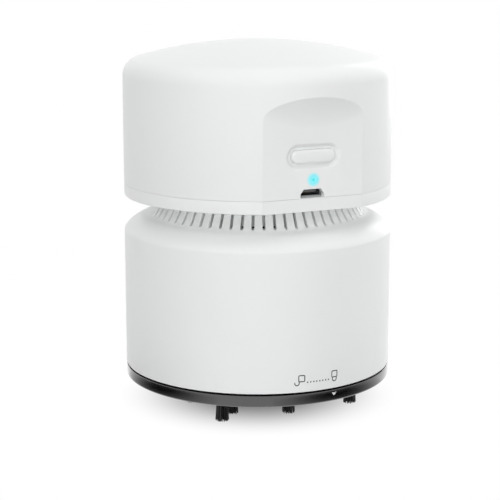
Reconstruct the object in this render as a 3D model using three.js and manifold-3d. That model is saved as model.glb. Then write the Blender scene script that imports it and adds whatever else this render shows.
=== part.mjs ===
// Desktop mini vacuum cleaner: a drum that holds the dust, a slotted neck where the air leaves,
// and a head that holds the motor, the cell and the controls. A twist-lock base with bristle
// tufts closes the drum. Millimetres, +Z up, the floor at zero, the control flat facing -Y.
import * as THREE from "three";
import { mergeGeometries, mergeVertices } from "three/addons/utils/BufferGeometryUtils.js";
import Module from "manifold-3d";

const wasm = await Module();
wasm.setup();

// Clearances and cutting
const gap = 0.3; // between neighbouring pieces that seat on or pass each other
const pressGap = 0.12; // round a bush, shaft or cell held without play
const overrun = 2; // how far a cutting shape runs past the wall that it cuts
const weld = 0.0001; // corners closer together than this are one corner

// How round things are
const drumSides = 64;
const headSides = 48;
const ringSides = 40;
const innerSides = 32;
const motorSides = 20;
const pinSides = 10;
const screwSides = 8;
const lugSteps = 2;
const degree = Math.PI / 180;
const quarterTurn = 90 * degree;
const fullTurn = 360 * degree;

// Drum, shoulder and neck, heights from the drum's bottom edge
const drumRadius = 41;
const drumWall = 1.8;
const rimHeight = 41;
const shoulderRise = 5;
const shoulderRun = 7.9;
const neckDraw = 3.4; // how far the neck draws in towards its top
const neckRise = 5.9;
const neckWall = 1.6;
const shoulderSteps = 4;
const shoulderRunShare = 0.45;
const shoulderDropShare = 0.1;
const shoulderRoundShare = 0.36;
const slotCount = drumSides; // one in each flat of the neck
const slotWidth = 0.95;
const slotSill = 1.1;
const slotHead = 0.9;
const webDrop = 6.2; // from the rim down to the web's underside
const webThickness = 1.6;
const eyeRim = 5.5; // how far the web reaches in under the impeller

// Bayonet between drum and base
const bayonetCount = 4;
const bayonetHalfAngle = 7 * degree;
const bayonetSlack = 0.5 * degree;
const stopHalfAngle = 1.5 * degree;
const drumLugRise = 2.2;
const lugThickness = 2;
const lugRoot = 0.8;
const lugTipGap = 0.5;

// Base, heights from the ring's underside, which the bristles hold above the floor
const bristleReach = 7.9;
const ringHeight = 4;
const ringInset = 0.13;
const ringEdge = 0.5;
const collarPlay = 2; // between the collar and the drum, where the lugs pass
const collarStep = 2.5; // from the collar's outside to the ring's bore
const collarWall = 2;
const collarRise = 7.6;
const ledgeWidth = 5.2;
const ledgeThickness = 1.5;
const sealHeight = 1.7;

// Suction plate inside the ring, with its funnel and tube
const plateInset = 1;
const plateThickness = 2.5;
const mouthRim = 4.7; // between the brush carriers and the mouth
const funnelRun = 5;
const funnelRise = 3;
const tubeRise = 12.6;
const tubeWall = 1.6;

// Brush carriers under the suction plate, each with one outer and two inner tufts
const carrierCount = 4;
const carrierThickness = 1.4;
const carrierProud = 0.7;
const carrierRim = 1.5; // between the ring's bore and the carrier
const carrierWidth = 13.5;
const carrierMargin = 9 * degree;
const carrierSteps = 4;
const pegRadius = 1.1;
const tuftInset = 2.9; // from a carrier's edge to the middle of a tuft
const tuftPitch = 45 * degree;
const tuftRadius = 1.62;
const tuftSplayShare = 1.1;
const strandsInTuft = 25;
const strandSides = 3;
const strandRadius = 0.21;
const strandRoot = 0.7;
const floorCut = 0.5;
const goldenAngle = 137.5 * degree;

// Head, heights from its bottom edge
const headInset = 0.14; // behind the drum's side
const headWall = 2;
const headEdge = 0.4;
const headBaseHeight = 3.7;
const headFloor = 2;
const lipWall = 1.5;
const lipRise = 2;
const headWallTop = 35.85;
const headFillet = 5.8;
const crownRise = 10.65; // from the top of the wall
const filletSteps = 3;
const domeSteps = 3;
const skirtGap = 1.1; // inside the slotted neck
const skirtWall = 1.6;
const skirtDrop = 4.9;
const deckThickness = 2;
const deckBore = 3.8;

// Control flat on the front of the head, with its scooped upper end
const flatHalfAngle = 22.9 * degree;
const scoopHeadroom = 3.05; // from the arch to the top of the wall
const scoopRise = 6;
const scoopSag = 2.6;
const scoopSteps = 12;
const scoopArcSteps = 4;

// Power button, switch, lamp and socket on the flat
const buttonLength = 13.7;
const buttonWidth = 3.9;
const buttonEdge = 0.5;
const buttonSink = 0.1;
const buttonTravel = 0.8;
const buttonFlange = 1.2;
const buttonRoom = 1.6; // between the lamp's flange and the button's
const buttonFlangeThickness = 0.8;
const wellLength = 17.4;
const wellWidth = 7.6;
const wellSlope = 0.9;
const wellDepth = 0.9;
const pillSteps = 5;
const switchSize = 6;
const switchDepth = 3.5;
const plungerRadius = 1.6;
const plungerReach = 1.2;
const lampRadius = 1.2;
const lampFlange = 0.7;
const emitterWidth = 3.2;
const emitterDepth = 1.9;
const socketOffset = 0.4;
const socketWidth = 7;
const socketHeight = 2.6;
const socketShell = 0.3;
const tongueWidth = 5.2;
const tongueThickness = 0.7;
const tongueInset = 0.5;
const socketOutlineShares = [[-0.5, 0], [0.5, 0], [0.5, 0.45], [0.36, 1], [-0.36, 1], [-0.5, 0.45]];

// Control board behind the flat, and what it carries
const boardSetback = 6.34; // behind the back of the flat
const boardThickness = 1.2;
const boardWidth = 22;
const boardHeight = 21.5;
const guideThickness = 2.6;
const guideGrip = 0.8;
const guideWall = 0.9;
const guideHeight = 12;
const chipWidth = 5;
const chipDepth = 1.5;
const chipHeightShare = 0.62;
const chipSideShare = 0.25;
const capacitorRadius = 3;
const capacitorLength = 8;
const capacitorHeightShare = 0.3;

// Motor on the deck, heights from the deck's top
const damperThickness = 1.2;
const damperInset = 0.5;
const canRadius = 12;
const canWall = 0.9;
const canHeight = 22.5;
const capHeight = 3.5;
const capRim = 1.2;
const bushRadius = 3;
const bushLength = 3.6;
const shaftRadius = 1;
const shaftTail = 1.5;
const airGap = 0.9;
const armatureHeight = 11.5;
const armatureFoot = 4.5;
const magnetThickness = 2.3;
const magnetHeight = 14;
const magnetFoot = 3.6;
const magnetHalfAngle = 62 * degree;
const magnetSteps = 6;
const motorScrewCircle = 7;

// Impeller under the deck
const impellerRoom = 1.6; // between the impeller and the posts
const impellerPlate = 1;
const impellerTopGap = 1.1;
const impellerFloorGap = 1;
const hubRadius = 3.2;
const hubLength = 7.5;
const bladeCount = 9;
const bladeThickness = 0.9;
const bladeRoot = 5.5;
const bladeSweep = 38 * degree;
const bladeSteps = 2;
const bladeTipInset = 0.3;
const bladeSink = 0.4;

// Cell and cradle at the back of the head
const cellRadius = 7;
const cellEndRoom = 2.13; // between the cell's end and the head's wall
const cellNubRadius = 2.6;
const cellNubLength = 0.8;
const cellSides = 20;
const cellGap = 2.3; // between the motor and the cell
const cradleThickness = 1.5;
const cradleWidth = 8;
const cradleInset = 1.5; // from the cell's end to the cradle's
const saddleThickness = 4;
const saddleInset = 3.5;
const saddleWall = 1.3;

// Leads
const leadRadius = 0.7;
const leadSides = 5;
const leadSteps = 9;
const leadLanding = 5; // straight run behind the board
const leadInset = 0.9; // below the board's top edge
const cellLeadBow = 0.9;
const cellLeadRise = 7;
const cellLeadTurn = 12; // from where it leaves the board to where it turns back
const cellLeadFront = 6; // in front of the axis when it passes the motor
const motorLeadOut = 4.2;
const motorLeadLoop = 2.5;
const motorLeadFront = 12;
const motorLeadSide = 1.2;

// Filter under the web, heights from the frame's underside
const filterHeight = 6.1;
const filterRim = 4.6;
const filterFloor = 1.8;
const filterWallGap = 0.6;
const spokeCount = 6;
const spokeWidth = 2.4;
const filterHub = 6;
const pullDrop = 3;
const pullLength = 10;
const pullThickness = 2;
const filterSealHeight = 1.8;

// Fasteners: head radius, head height, shank radius, shank length
const screwHead = 1.9;
const screwHeadHeight = 1;
const screwShank = 1;
const screwCross = 0.5;
const screwCrossShare = 0.6;
const screwCrossDepth = 0.6;
const screwTip = 0.6;
const headScrewLength = 8;
const headScrewCount = 2;
const headScrewInset = 6.86; // from the head's side
const bodyScrewLength = 7;
const postCount = 3;
const postInset = 4.1; // from the skirt's outside to the middle of a post
const postRadius = 2.3;
const motorScrewLength = 5.5;
const baseScrewLength = 6;
const baseScrewInset = 2.7; // from the ring's bore
const bossRadius = 2.4;
const bossRise = 3.3;

// Sizes that follow from those above
const drumFoot = bristleReach + ringHeight + gap;
const drumBore = drumRadius - drumWall;
const neckFootRadius = drumRadius - shoulderRun;
const neckTopRadius = neckFootRadius - neckDraw;
const neckFoot = rimHeight + shoulderRise;
const neckTop = neckFoot + neckRise;
const headFoot = drumFoot + neckTop + gap;
const webHeight = rimHeight - webDrop;
const webTop = webHeight + webThickness;
const collarRadius = drumBore - collarPlay;
const ringBore = collarRadius - collarStep;
const carrierOuter = ringBore - carrierRim;
const carrierInner = carrierOuter - carrierWidth;
const pegCircle = (carrierInner + carrierOuter) / 2;
const innerTuftCircle = carrierInner + tuftInset;
const outerTuftCircle = carrierOuter - tuftInset;
const mouthRadius = carrierInner - mouthRim;
const throatRadius = mouthRadius - funnelRun;
const baseScrewCircle = ringBore - baseScrewInset;
const headRadius = drumRadius - headInset;
const headTop = headWallTop + crownRise;
const scoopSpring = headWallTop - scoopHeadroom - scoopRise;
const skirtRadius = neckTopRadius - neckWall - skirtGap;
const postCircle = skirtRadius - postInset;
const impellerRadius = postCircle - postRadius - impellerRoom;
const eyeRadius = impellerRadius - eyeRim;
const headScrewCircle = headRadius - headScrewInset;
const shellFoot = headBaseHeight + gap;
const deckTop = deckThickness - skirtDrop;
const lampReach = lampRadius + lampFlange;
const lampHeight = headBaseHeight + socketHeight + 2 * socketShell + gap + lampReach;
const buttonHeight = lampHeight + lampReach + buttonRoom + buttonFlange + buttonWidth / 2;
const flatDistance = headRadius * Math.cos(flatHalfAngle);
const flatBack = flatDistance - headWall;
const webInHead = webTop - neckTop - gap;
const lipRadius = headRadius - headWall - gap;
const screwHole = screwShank + gap;
const plateTop = plateInset + plateThickness;
const ledgeFoot = plateTop + gap;
const ledgeTop = ledgeFoot + ledgeThickness;
const canFoot = damperThickness + gap * 2;
const canTop = canFoot + canHeight;
const boardFoot = headFloor + gap;
const boardFace = flatBack - boardSetback; // from the head's axis
const cellOffset = canRadius + cellGap + cellRadius;
const cellChord = Math.sqrt((headRadius - headWall) ** 2 - (cellOffset + cellRadius) ** 2);
const cellLength = 2 * (cellChord - cellEndRoom);

// One list of triangle corners, with the faces pointing outwards
function outward(geometry) {
  const corners = geometry.index ? geometry.toNonIndexed() : geometry;
  const places = corners.getAttribute("position").array.slice();
  const [a, b, c] = [new THREE.Vector3(), new THREE.Vector3(), new THREE.Vector3()];
  let volume = 0;
  for (let i = 0; i < places.length; i += 9) {
    a.fromArray(places, i);
    b.fromArray(places, i + 3);
    c.fromArray(places, i + 6);
    volume += a.dot(b.cross(c));
  }
  if (volume < 0) {
    for (let i = 0; i < places.length; i += 9) {
      const second = places.slice(i + 3, i + 6);
      places.copyWithin(i + 3, i + 6, i + 9);
      places.set(second, i + 6);
    }
  }
  const plain = new THREE.BufferGeometry();
  plain.setAttribute("position", new THREE.BufferAttribute(places, 3));
  return plain;
}

// Turns a closed section of [radius, height] pairs round the Z axis
function turned(section, sides, start = 0) {
  const onAxis = section[0][0] === 0 && section.at(-1)[0] === 0;
  const closed = onAxis ? section : [...section, section[0]];
  const lathe = new THREE.LatheGeometry(closed.map(([r, z]) => new THREE.Vector2(r, z)), sides, start);
  return outward(lathe.rotateX(quarterTurn));
}

function rod(radius, bottom, top, sides) {
  return turned([[0, bottom], [radius, bottom], [radius, top], [0, top]], sides);
}

function tube(inner, outer, bottom, top, sides) {
  return turned([[inner, bottom], [outer, bottom], [outer, top], [inner, top]], sides);
}

function block(left, right, front, back, bottom, top) {
  const box = new THREE.BoxGeometry(right - left, back - front, top - bottom);
  return outward(box.translate((left + right) / 2, (front + back) / 2, (bottom + top) / 2));
}

// A flat outline of [x, y] pairs, raised from one height to another
function prism(outline, bottom, top) {
  const shape = new THREE.Shape(outline.map(([x, y]) => new THREE.Vector2(x, y)));
  const raised = new THREE.ExtrudeGeometry(shape, { depth: top - bottom, bevelEnabled: false });
  return outward(raised.translate(0, 0, bottom));
}

// An outline of [x, z] pairs, carried forwards between two distances from the axis
function frontPrism(outline, back, front) {
  return prism(outline, back, front).rotateX(quarterTurn);
}

function arc(radius, from, to, steps) {
  return Array.from({ length: steps + 1 }, (_, i) => {
    const angle = from + ((to - from) * i) / steps;
    return [radius * Math.cos(angle), radius * Math.sin(angle)];
  });
}

function sector(inner, outer, middle, halfAngle, bottom, top, steps) {
  const outerArc = arc(outer, middle - halfAngle, middle + halfAngle, steps);
  const innerArc = arc(inner, middle + halfAngle, middle - halfAngle, steps);
  return prism([...outerArc, ...innerArc], bottom, top);
}

// Rings of corners, each joined to the next, with both ends closed
function lofted(rings) {
  const count = rings[0].length;
  const triangles = [];
  for (let k = 0; k + 1 < rings.length; k += 1) {
    for (let i = 0; i < count; i += 1) {
      const next = (i + 1) % count;
      triangles.push(rings[k][i], rings[k][next], rings[k + 1][next]);
      triangles.push(rings[k][i], rings[k + 1][next], rings[k + 1][i]);
    }
  }
  for (let i = 1; i + 1 < count; i += 1) {
    triangles.push(rings[0][0], rings[0][i + 1], rings[0][i]);
    triangles.push(rings.at(-1)[0], rings.at(-1)[i], rings.at(-1)[i + 1]);
  }
  return outward(new THREE.BufferGeometry().setFromPoints(triangles));
}

function moved(shape, x, y, z) {
  return shape.clone().translate(x, y, z);
}

function spun(shape, angle) {
  return shape.clone().rotateZ(angle);
}

// Copies of a shape at even angles round the Z axis, which don't touch each other
function around(count, shape, start = 0) {
  const copies = Array.from({ length: count }, (_, i) => spun(shape, start + (fullTurn * i) / count));
  return mergeGeometries(copies);
}

// A closed shape as a solid that can be joined and cut
function solid(shape) {
  const merged = mergeVertices(shape, weld);
  const index = merged.index.array;
  const faces = [];
  for (let i = 0; i < index.length; i += 3) {
    const [a, b, c] = index.slice(i, i + 3);
    if (a !== b && b !== c && c !== a) {
      faces.push(a, b, c);
    }
  }
  const mesh = new wasm.Mesh({
    numProp: 3,
    vertProperties: merged.getAttribute("position").array,
    triVerts: new Uint32Array(faces),
  });
  return new wasm.Manifold(mesh);
}

function join(first, ...rest) {
  return rest.reduce((whole, shape) => whole.add(solid(shape)), solid(first));
}

function cut(whole, ...tools) {
  return tools.reduce((rest, tool) => rest.subtract(solid(tool)), whole);
}

// Screws

// Head down, with a cross recess, or a plain slot across it
function screw(length, crossed) {
  const bottom = screwHeadHeight + length;
  const turnedPart = turned([
    [0, 0],
    [screwHead, 0],
    [screwHead, screwHeadHeight],
    [screwShank, screwHeadHeight],
    [screwShank, bottom - screwTip],
    [0, bottom],
  ], screwSides);
  const half = crossed ? screwHead * screwCrossShare : screwHead + overrun;
  const bar = block(-half, half, -screwCross / 2, screwCross / 2, -overrun, screwCrossDepth);
  const slotted = cut(join(turnedPart), bar);
  return crossed ? cut(slotted, spun(bar, quarterTurn)) : slotted;
}

// The way for a screw's shank, and the sink for its head, at the first screw's place
function screwWay(x, y, bottom, top) {
  return moved(rod(screwHole, bottom, top, screwSides), x, y, 0);
}

function screwSink(x, y, bottom, top) {
  return moved(rod(screwHead + gap, bottom, top, screwSides), x, y, 0);
}

// Drum, shoulder and neck in one moulding

function shoulderPoints() {
  const run = drumRadius - neckFootRadius;
  const landing = neckFoot - shoulderRise * shoulderDropShare;
  const curve = new THREE.CubicBezierCurve(
    new THREE.Vector2(drumRadius, rimHeight),
    new THREE.Vector2(drumRadius, rimHeight + shoulderRise * shoulderRoundShare),
    new THREE.Vector2(neckFootRadius + run * shoulderRunShare, landing),
    new THREE.Vector2(neckFootRadius, neckFoot),
  );
  return curve.getPoints(shoulderSteps).map((point) => [point.x, point.y]);
}

function slotCutter() {
  const half = slotWidth / 2;
  const back = neckTopRadius - neckWall - overrun;
  return block(-half, half, -neckFootRadius - overrun, -back, neckFoot + slotSill, neckTop - slotHead);
}

function bayonetLug(inner, outer, bottom, top, middle, halfAngle) {
  return sector(inner, outer, middle, halfAngle, bottom, top, lugSteps);
}

function bodyShell() {
  const slope = (neckTopRadius - neckFootRadius) / neckRise;
  const innerFoot = neckFoot - neckWall;
  const shell = turned([
    [drumRadius, 0],
    ...shoulderPoints(),
    [neckTopRadius, neckTop],
    [neckTopRadius - neckWall, neckTop],
    [neckFootRadius - slope * -neckWall - neckWall, innerFoot],
    [drumBore, rimHeight - neckWall / 2],
    [drumBore, webTop],
    [0, webTop],
    [0, webHeight],
    [drumBore, webHeight],
    [drumBore, 0],
  ], drumSides, fullTurn / drumSides / 2);
  const lugInner = collarRadius + 2 * gap;
  const lugTop = drumLugRise + lugThickness;
  const lug = bayonetLug(lugInner, drumBore + lugRoot, drumLugRise, lugTop, 0, bayonetHalfAngle);
  const stopMiddle = bayonetHalfAngle + bayonetSlack + stopHalfAngle;
  const stopTop = lugTop + gap + lugThickness;
  const stop = bayonetLug(lugInner, drumBore + lugRoot, drumLugRise, stopTop, stopMiddle, stopHalfAngle);
  const postWay = screwWay(0, postCircle, webHeight - overrun, webTop + overrun);
  const lugs = around(bayonetCount, lug);
  const stops = around(bayonetCount, stop);
  const slots = around(slotCount, slotCutter());
  const eye = rod(eyeRadius, webHeight - overrun, webTop + overrun, innerSides);
  return cut(join(shell, lugs, stops), eye, slots, around(postCount, postWay));
}

// Filter: frame with a pull bar, pad and seal

function filterFrame() {
  const outer = drumBore - filterWallGap;
  const inner = outer - filterRim;
  const rim = tube(inner, outer, 0, filterHeight, innerSides);
  const hub = rod(filterHub, 0, filterFloor, pinSides);
  const spoke = block(0, inner + filterRim / 2, -spokeWidth / 2, spokeWidth / 2, 0, filterFloor);
  const [pullHalf, pullSide] = [pullLength / 2, pullThickness / 2];
  const pull = block(-pullHalf, pullHalf, -pullSide, pullSide, -pullDrop, filterFloor);
  const spokes = Array.from({ length: spokeCount }, (_, i) => spun(spoke, (fullTurn * i) / spokeCount));
  return join(rim, hub, ...spokes, pull);
}

function filterPad() {
  const radius = drumBore - filterWallGap - filterRim - gap;
  return join(rod(radius, 0, filterHeight - filterFloor - gap, innerSides));
}

function filterSeal() {
  const inner = drumBore - filterWallGap - filterRim + pressGap;
  return join(tube(inner, drumBore - gap, 0, filterSealHeight, innerSides));
}

// Base: ring with the bayonet collar, suction plate, seal and brushes

function baseScrewAngle(k) {
  return (fullTurn / carrierCount) * k + tuftPitch / 2 + fullTurn / carrierCount / 2;
}

function baseRing() {
  const outer = drumRadius - ringInset;
  const collarTop = ringHeight + collarRise;
  const ledgeBore = ringBore - ledgeWidth;
  const collarBore = collarRadius - collarWall;
  const ring = turned([
    [ringBore, 0],
    [outer - ringEdge, 0],
    [outer, ringEdge],
    [outer, ringHeight],
    [collarRadius, ringHeight],
    [collarRadius, collarTop],
    [collarBore, collarTop],
    [collarBore, ledgeTop],
    [ledgeBore, ledgeTop],
    [ledgeBore, ledgeFoot],
    [ringBore, ledgeFoot],
  ], ringSides);
  const lugFoot = ringHeight + gap + drumLugRise + lugThickness + gap;
  const lugTip = drumBore - lugTipGap;
  const lugTop = lugFoot + lugThickness;
  const lug = bayonetLug(collarRadius - lugRoot, lugTip, lugFoot, lugTop, 0, bayonetHalfAngle);
  const start = baseScrewAngle(0);
  const bossTop = ledgeTop + bossRise;
  const boss = moved(rod(bossRadius, ledgeFoot + gap, bossTop, pinSides), baseScrewCircle, 0, 0);
  const holeTop = bossTop - gap;
  const hole = screwWay(baseScrewCircle, 0, ledgeFoot - overrun, holeTop);
  const lugs = around(bayonetCount, lug);
  const bosses = around(carrierCount, boss, start);
  return cut(join(ring, lugs, bosses), around(carrierCount, hole, start));
}

function baseSeal() {
  return join(tube(collarRadius + gap, drumBore - gap, 0, sealHeight, innerSides));
}

// The two pegs of a carrier, or their holes, at the first carrier's place
function pegs(radius, bottom, top) {
  const peg = moved(rod(radius, bottom, top, screwSides), pegCircle, 0, 0);
  const inset = carrierMargin / 2;
  return mergeGeometries([spun(peg, -inset / 2), spun(peg, tuftPitch + inset / 2)]);
}

function carrierOutline(inner, outer, bottom, top, extra) {
  const halfAngle = tuftPitch / 2 + carrierMargin + extra;
  return sector(inner, outer, tuftPitch / 2, halfAngle, bottom, top, carrierSteps);
}

function suctionPlate() {
  const radius = ringBore - gap;
  const throatHeight = plateTop + funnelRise;
  const tubeTop = plateTop + tubeRise;
  const plate = turned([
    [mouthRadius, plateInset],
    [radius, plateInset],
    [radius, plateTop],
    [mouthRadius + tubeWall, plateTop],
    [throatRadius + tubeWall, throatHeight],
    [throatRadius + tubeWall, tubeTop],
    [throatRadius, tubeTop],
    [throatRadius, throatHeight],
  ], innerSides);
  const pocketTop = plateInset - carrierProud + carrierThickness + gap;
  const pocketSlack = gap / carrierInner;
  const pocketFoot = plateInset - overrun;
  const pocketInner = carrierInner - gap;
  const pocket = carrierOutline(pocketInner, carrierOuter + gap, pocketFoot, pocketTop, pocketSlack);
  const pegHoles = pegs(pegRadius + gap, plateInset, plateTop + overrun);
  const way = screwWay(baseScrewCircle, 0, plateInset - overrun, plateTop + overrun);
  const sinkTop = plateInset + screwHeadHeight + gap;
  const sink = screwSink(baseScrewCircle, 0, plateInset - overrun, sinkTop);
  const start = baseScrewAngle(0);
  const pockets = around(carrierCount, pocket);
  const holes = around(carrierCount, pegHoles);
  const ways = around(carrierCount, way, start);
  const sinks = around(carrierCount, sink, start);
  return cut(join(plate), pockets, holes, ways, sinks);
}

// One bristle: three-sided, leaning outwards a little from the middle of its tuft
function strand(x, y, top, bottom) {
  const ring = (centreX, centreY, z) => Array.from({ length: strandSides }, (_, i) => {
    const angle = Math.atan2(y, x) + (fullTurn * i) / strandSides;
    const dx = strandRadius * Math.cos(angle);
    const dy = strandRadius * Math.sin(angle);
    return new THREE.Vector3(centreX + dx, centreY + dy, z);
  });
  return lofted([ring(x, y, top), ring(x * tuftSplayShare, y * tuftSplayShare, bottom)]);
}

function tuft(radius, angle, top, bottom) {
  const strands = Array.from({ length: strandsInTuft }, (_, i) => {
    const reach = tuftRadius * Math.sqrt((i + 0.5) / strandsInTuft);
    const turn = i * goldenAngle;
    return strand(reach * Math.cos(turn), reach * Math.sin(turn), top, bottom);
  });
  return spun(moved(mergeGeometries(strands), radius, 0, 0), angle);
}

function brushCarrier() {
  const foot = plateInset - carrierProud;
  const top = foot + carrierThickness;
  const backing = carrierOutline(carrierInner, carrierOuter, foot, top, 0);
  const pegPair = pegs(pegRadius, top - gap, plateTop - gap);
  const strandTop = foot + strandRoot;
  const strandFoot = -bristleReach - floorCut;
  const tufts = [
    tuft(innerTuftCircle, 0, strandTop, strandFoot),
    tuft(innerTuftCircle, tuftPitch, strandTop, strandFoot),
    tuft(outerTuftCircle, tuftPitch, strandTop, strandFoot),
  ];
  const below = rod(drumRadius, strandFoot - overrun, -bristleReach, pinSides);
  return cut(join(backing, pegPair, mergeGeometries(tufts)), below);
}

// Head: base moulding with the motor deck, and the domed shell

// Outline of the shell from its foot to the axis, drawn in from the outside by an inset
function domeSection(inset, foot) {
  const radius = headRadius - inset;
  const fillet = headFillet - inset;
  const top = headTop - inset;
  const reach = radius - fillet;
  const rise = top - headWallTop;
  const crown = (rise ** 2 + reach ** 2 - fillet ** 2) / (2 * (rise - fillet));
  const centre = top - crown;
  const meet = Math.atan2(headWallTop - centre, reach);
  const filletArc = arc(fillet, 0, meet, filletSteps).map(([r, z]) => [reach + r, headWallTop + z]);
  const domeArc = arc(crown, meet, quarterTurn, domeSteps).map(([r, z]) => [r, centre + z]);
  return [[0, foot], [radius, foot], ...filletArc, ...domeArc.slice(1, -1), [0, top]];
}

// Everything in front of the flat and under its arched end, drawn in by an inset
function scoop(inset, foot) {
  const flat = flatDistance - inset;
  const surface = headRadius - inset;
  const half = Math.sqrt(surface ** 2 - flat ** 2);
  const spring = scoopSpring + inset;
  const front = headRadius + overrun;
  const rings = Array.from({ length: scoopSteps + 1 }, (_, i) => {
    const across = Math.cos((2 * quarterTurn * i) / scoopSteps);
    const along = Math.sin((2 * quarterTurn * i) / scoopSteps);
    const x = half * across;
    const depth = Math.sqrt(Math.max(surface ** 2 - x ** 2, flat ** 2)) - flat;
    const top = spring + scoopRise * along;
    const low = spring - scoopSag * along ** 2;
    const ceiling = Array.from({ length: scoopArcSteps + 1 }, (_, j) => {
      const angle = (quarterTurn * j) / scoopArcSteps;
      const reach = flat + depth * (1 - Math.cos(angle));
      return new THREE.Vector3(x, -reach, low + (top - low) * Math.sin(angle));
    });
    const ends = [new THREE.Vector3(x, -front, top), new THREE.Vector3(x, -front, foot)];
    return [new THREE.Vector3(x, -flat, foot), ...ceiling, ...ends];
  });
  return lofted(rings);
}

function topShell() {
  const foot = shellFoot - overrun;
  const outside = turned(domeSection(0, shellFoot), headSides);
  const inside = turned(domeSection(headWall, foot), innerSides);
  const outer = cut(join(outside), scoop(0, foot));
  const cavity = cut(join(inside), scoop(headWall, foot - overrun));
  const bossFoot = headFloor + gap;
  const boss = moved(rod(bossRadius, bossFoot, headTop, pinSides), headScrewCircle, 0, 0);
  const holeTop = bossFoot + headScrewLength;
  const hole = screwWay(headScrewCircle, 0, bossFoot - overrun, holeTop);
  const underDome = turned(domeSection(headWall / 2, bossFoot), innerSides);
  const bosses = solid(around(headScrewCount, boss)).intersect(solid(underDome));
  const shell = outer.subtract(cavity).add(bosses);
  const wellFoot = flatDistance - wellDepth;
  const wellInner = [wellLength - 2 * wellSlope, wellWidth - 2 * wellSlope];
  const grow = (2 * wellSlope * overrun) / wellDepth;
  const well = pillLoft(buttonHeight, [
    [wellFoot, ...wellInner],
    [flatDistance + overrun, wellLength + grow, wellWidth + grow],
  ]);
  const wayLength = buttonLength + 2 * gap;
  const wayWidth = buttonWidth + 2 * gap;
  const way = pillLoft(buttonHeight, [
    [flatBack - overrun, wayLength, wayWidth],
    [flatDistance, wayLength, wayWidth],
  ]);
  const lampWay = frontRod(lampRadius + gap, flatBack - overrun, flatDistance + overrun, 0, lampHeight);
  const socketWay = frontPrism(socketOutline(0, 0), flatBack - overrun, flatDistance + overrun);
  return cut(shell, around(headScrewCount, hole), well, way, lampWay, socketWay);
}

function headBase() {
  const rim = turned([
    [0, 0],
    [headRadius - headEdge, 0],
    [headRadius, headEdge],
    [headRadius, headBaseHeight],
    [0, headBaseHeight],
  ], headSides);
  const lipTop = headBaseHeight + lipRise;
  const lip = rod(lipRadius, headFloor, lipTop, innerSides);
  const room = rod(lipRadius - lipWall, headFloor, lipTop + overrun, innerSides);
  const reach = headRadius + overrun;
  const clearTop = lipTop + 2 * overrun;
  const flatFront = (distance) => block(-reach, reach, -reach, -distance, -overrun, clearTop);
  const lipFlat = flatDistance - headWall - gap;
  const outer = cut(join(rim), flatFront(flatDistance)).add(cut(join(lip), flatFront(lipFlat)));
  const hollow = cut(join(room), flatFront(lipFlat - lipWall));
  const bucket = rod(skirtRadius, -skirtDrop, headFloor / 2, innerSides);
  const bucketRoom = rod(skirtRadius - skirtWall, deckTop, headFloor + overrun, innerSides);
  const postFoot = webInHead + gap;
  const post = moved(rod(postRadius, postFoot, deckTop - deckThickness / 2, pinSides), 0, postCircle, 0);
  const postHoleTop = postFoot + bodyScrewLength;
  const postHole = screwWay(0, postCircle, postFoot - overrun, postHoleTop);
  const shaftWay = rod(deckBore, -skirtDrop - overrun, deckTop + overrun, pinSides);
  const motorWay = screwWay(motorScrewCircle, 0, -skirtDrop - overrun, deckTop + overrun);
  const motorSinkTop = screwHeadHeight + gap - skirtDrop;
  const motorSink = screwSink(motorScrewCircle, 0, -skirtDrop - overrun, motorSinkTop);
  const headWay = screwWay(headScrewCircle, 0, -overrun, headFloor + overrun);
  const headSink = screwSink(headScrewCircle, 0, -overrun, screwHeadHeight + gap);
  const notchHalf = socketWidth / 2 + socketShell + gap;
  const notch = block(
    -socketOffset - notchHalf,
    -socketOffset + notchHalf,
    -lipFlat - overrun,
    lipWall + overrun - lipFlat,
    headBaseHeight,
    lipTop + overrun,
  );
  const whole = outer.subtract(hollow).add(cut(join(bucket, around(postCount, post)), bucketRoom));
  return cut(
    whole.add(solid(boardGuide(1))).add(solid(boardGuide(-1))),
    bucketRoom,
    around(postCount, postHole),
    shaftWay,
    around(2, motorWay),
    around(2, motorSink),
    around(headScrewCount, headWay),
    around(headScrewCount, headSink),
    notch,
  );
}

// A post beside the control board, grooved for the board's edge
function boardGuide(side) {
  const edge = boardWidth / 2;
  const inner = edge - guideGrip;
  const outer = inner + guideThickness;
  const front = boardFace + gap + guideWall;
  const back = boardFace - boardThickness - gap - guideWall;
  const grooveEnd = edge + gap;
  const outline = [
    [side * inner, -front],
    [side * outer, -front],
    [side * outer, -back],
    [side * inner, -back],
    [side * inner, guideWall - front + 2 * gap + boardThickness],
    [side * grooveEnd, guideWall - front + 2 * gap + boardThickness],
    [side * grooveEnd, guideWall - front],
    [side * inner, guideWall - front],
  ];
  return prism(outline, headFloor / 2, headFloor + guideHeight);
}

// Controls on the flat and behind it

function pillOutline(length, width) {
  const radius = width / 2;
  const straight = length / 2 - radius;
  const right = arc(radius, -quarterTurn, quarterTurn, pillSteps).map(([x, z]) => [x + straight, z]);
  const left = arc(radius, quarterTurn, 3 * quarterTurn, pillSteps).map(([x, z]) => [x - straight, z]);
  return [...right, ...left];
}

// A pill-shaped solid through levels of [distance from the axis, length, width]
function pillLoft(height, levels) {
  const rings = levels.map(([distance, length, width]) => (
    pillOutline(length, width).map(([x, z]) => new THREE.Vector3(x, -distance, z + height))
  ));
  return lofted(rings);
}

function frontRod(radius, back, front, x, height) {
  return rod(radius, back, front, pinSides).rotateX(quarterTurn).translate(x, 0, height);
}

// The socket's outline grown by a margin, its wide side down
function socketOutline(grow, lift) {
  const width = socketWidth + 2 * grow;
  const height = socketHeight + 2 * grow;
  const foot = headBaseHeight + lift - grow;
  return socketOutlineShares.map(([x, z]) => [x * width - socketOffset, z * height + foot]);
}

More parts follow.
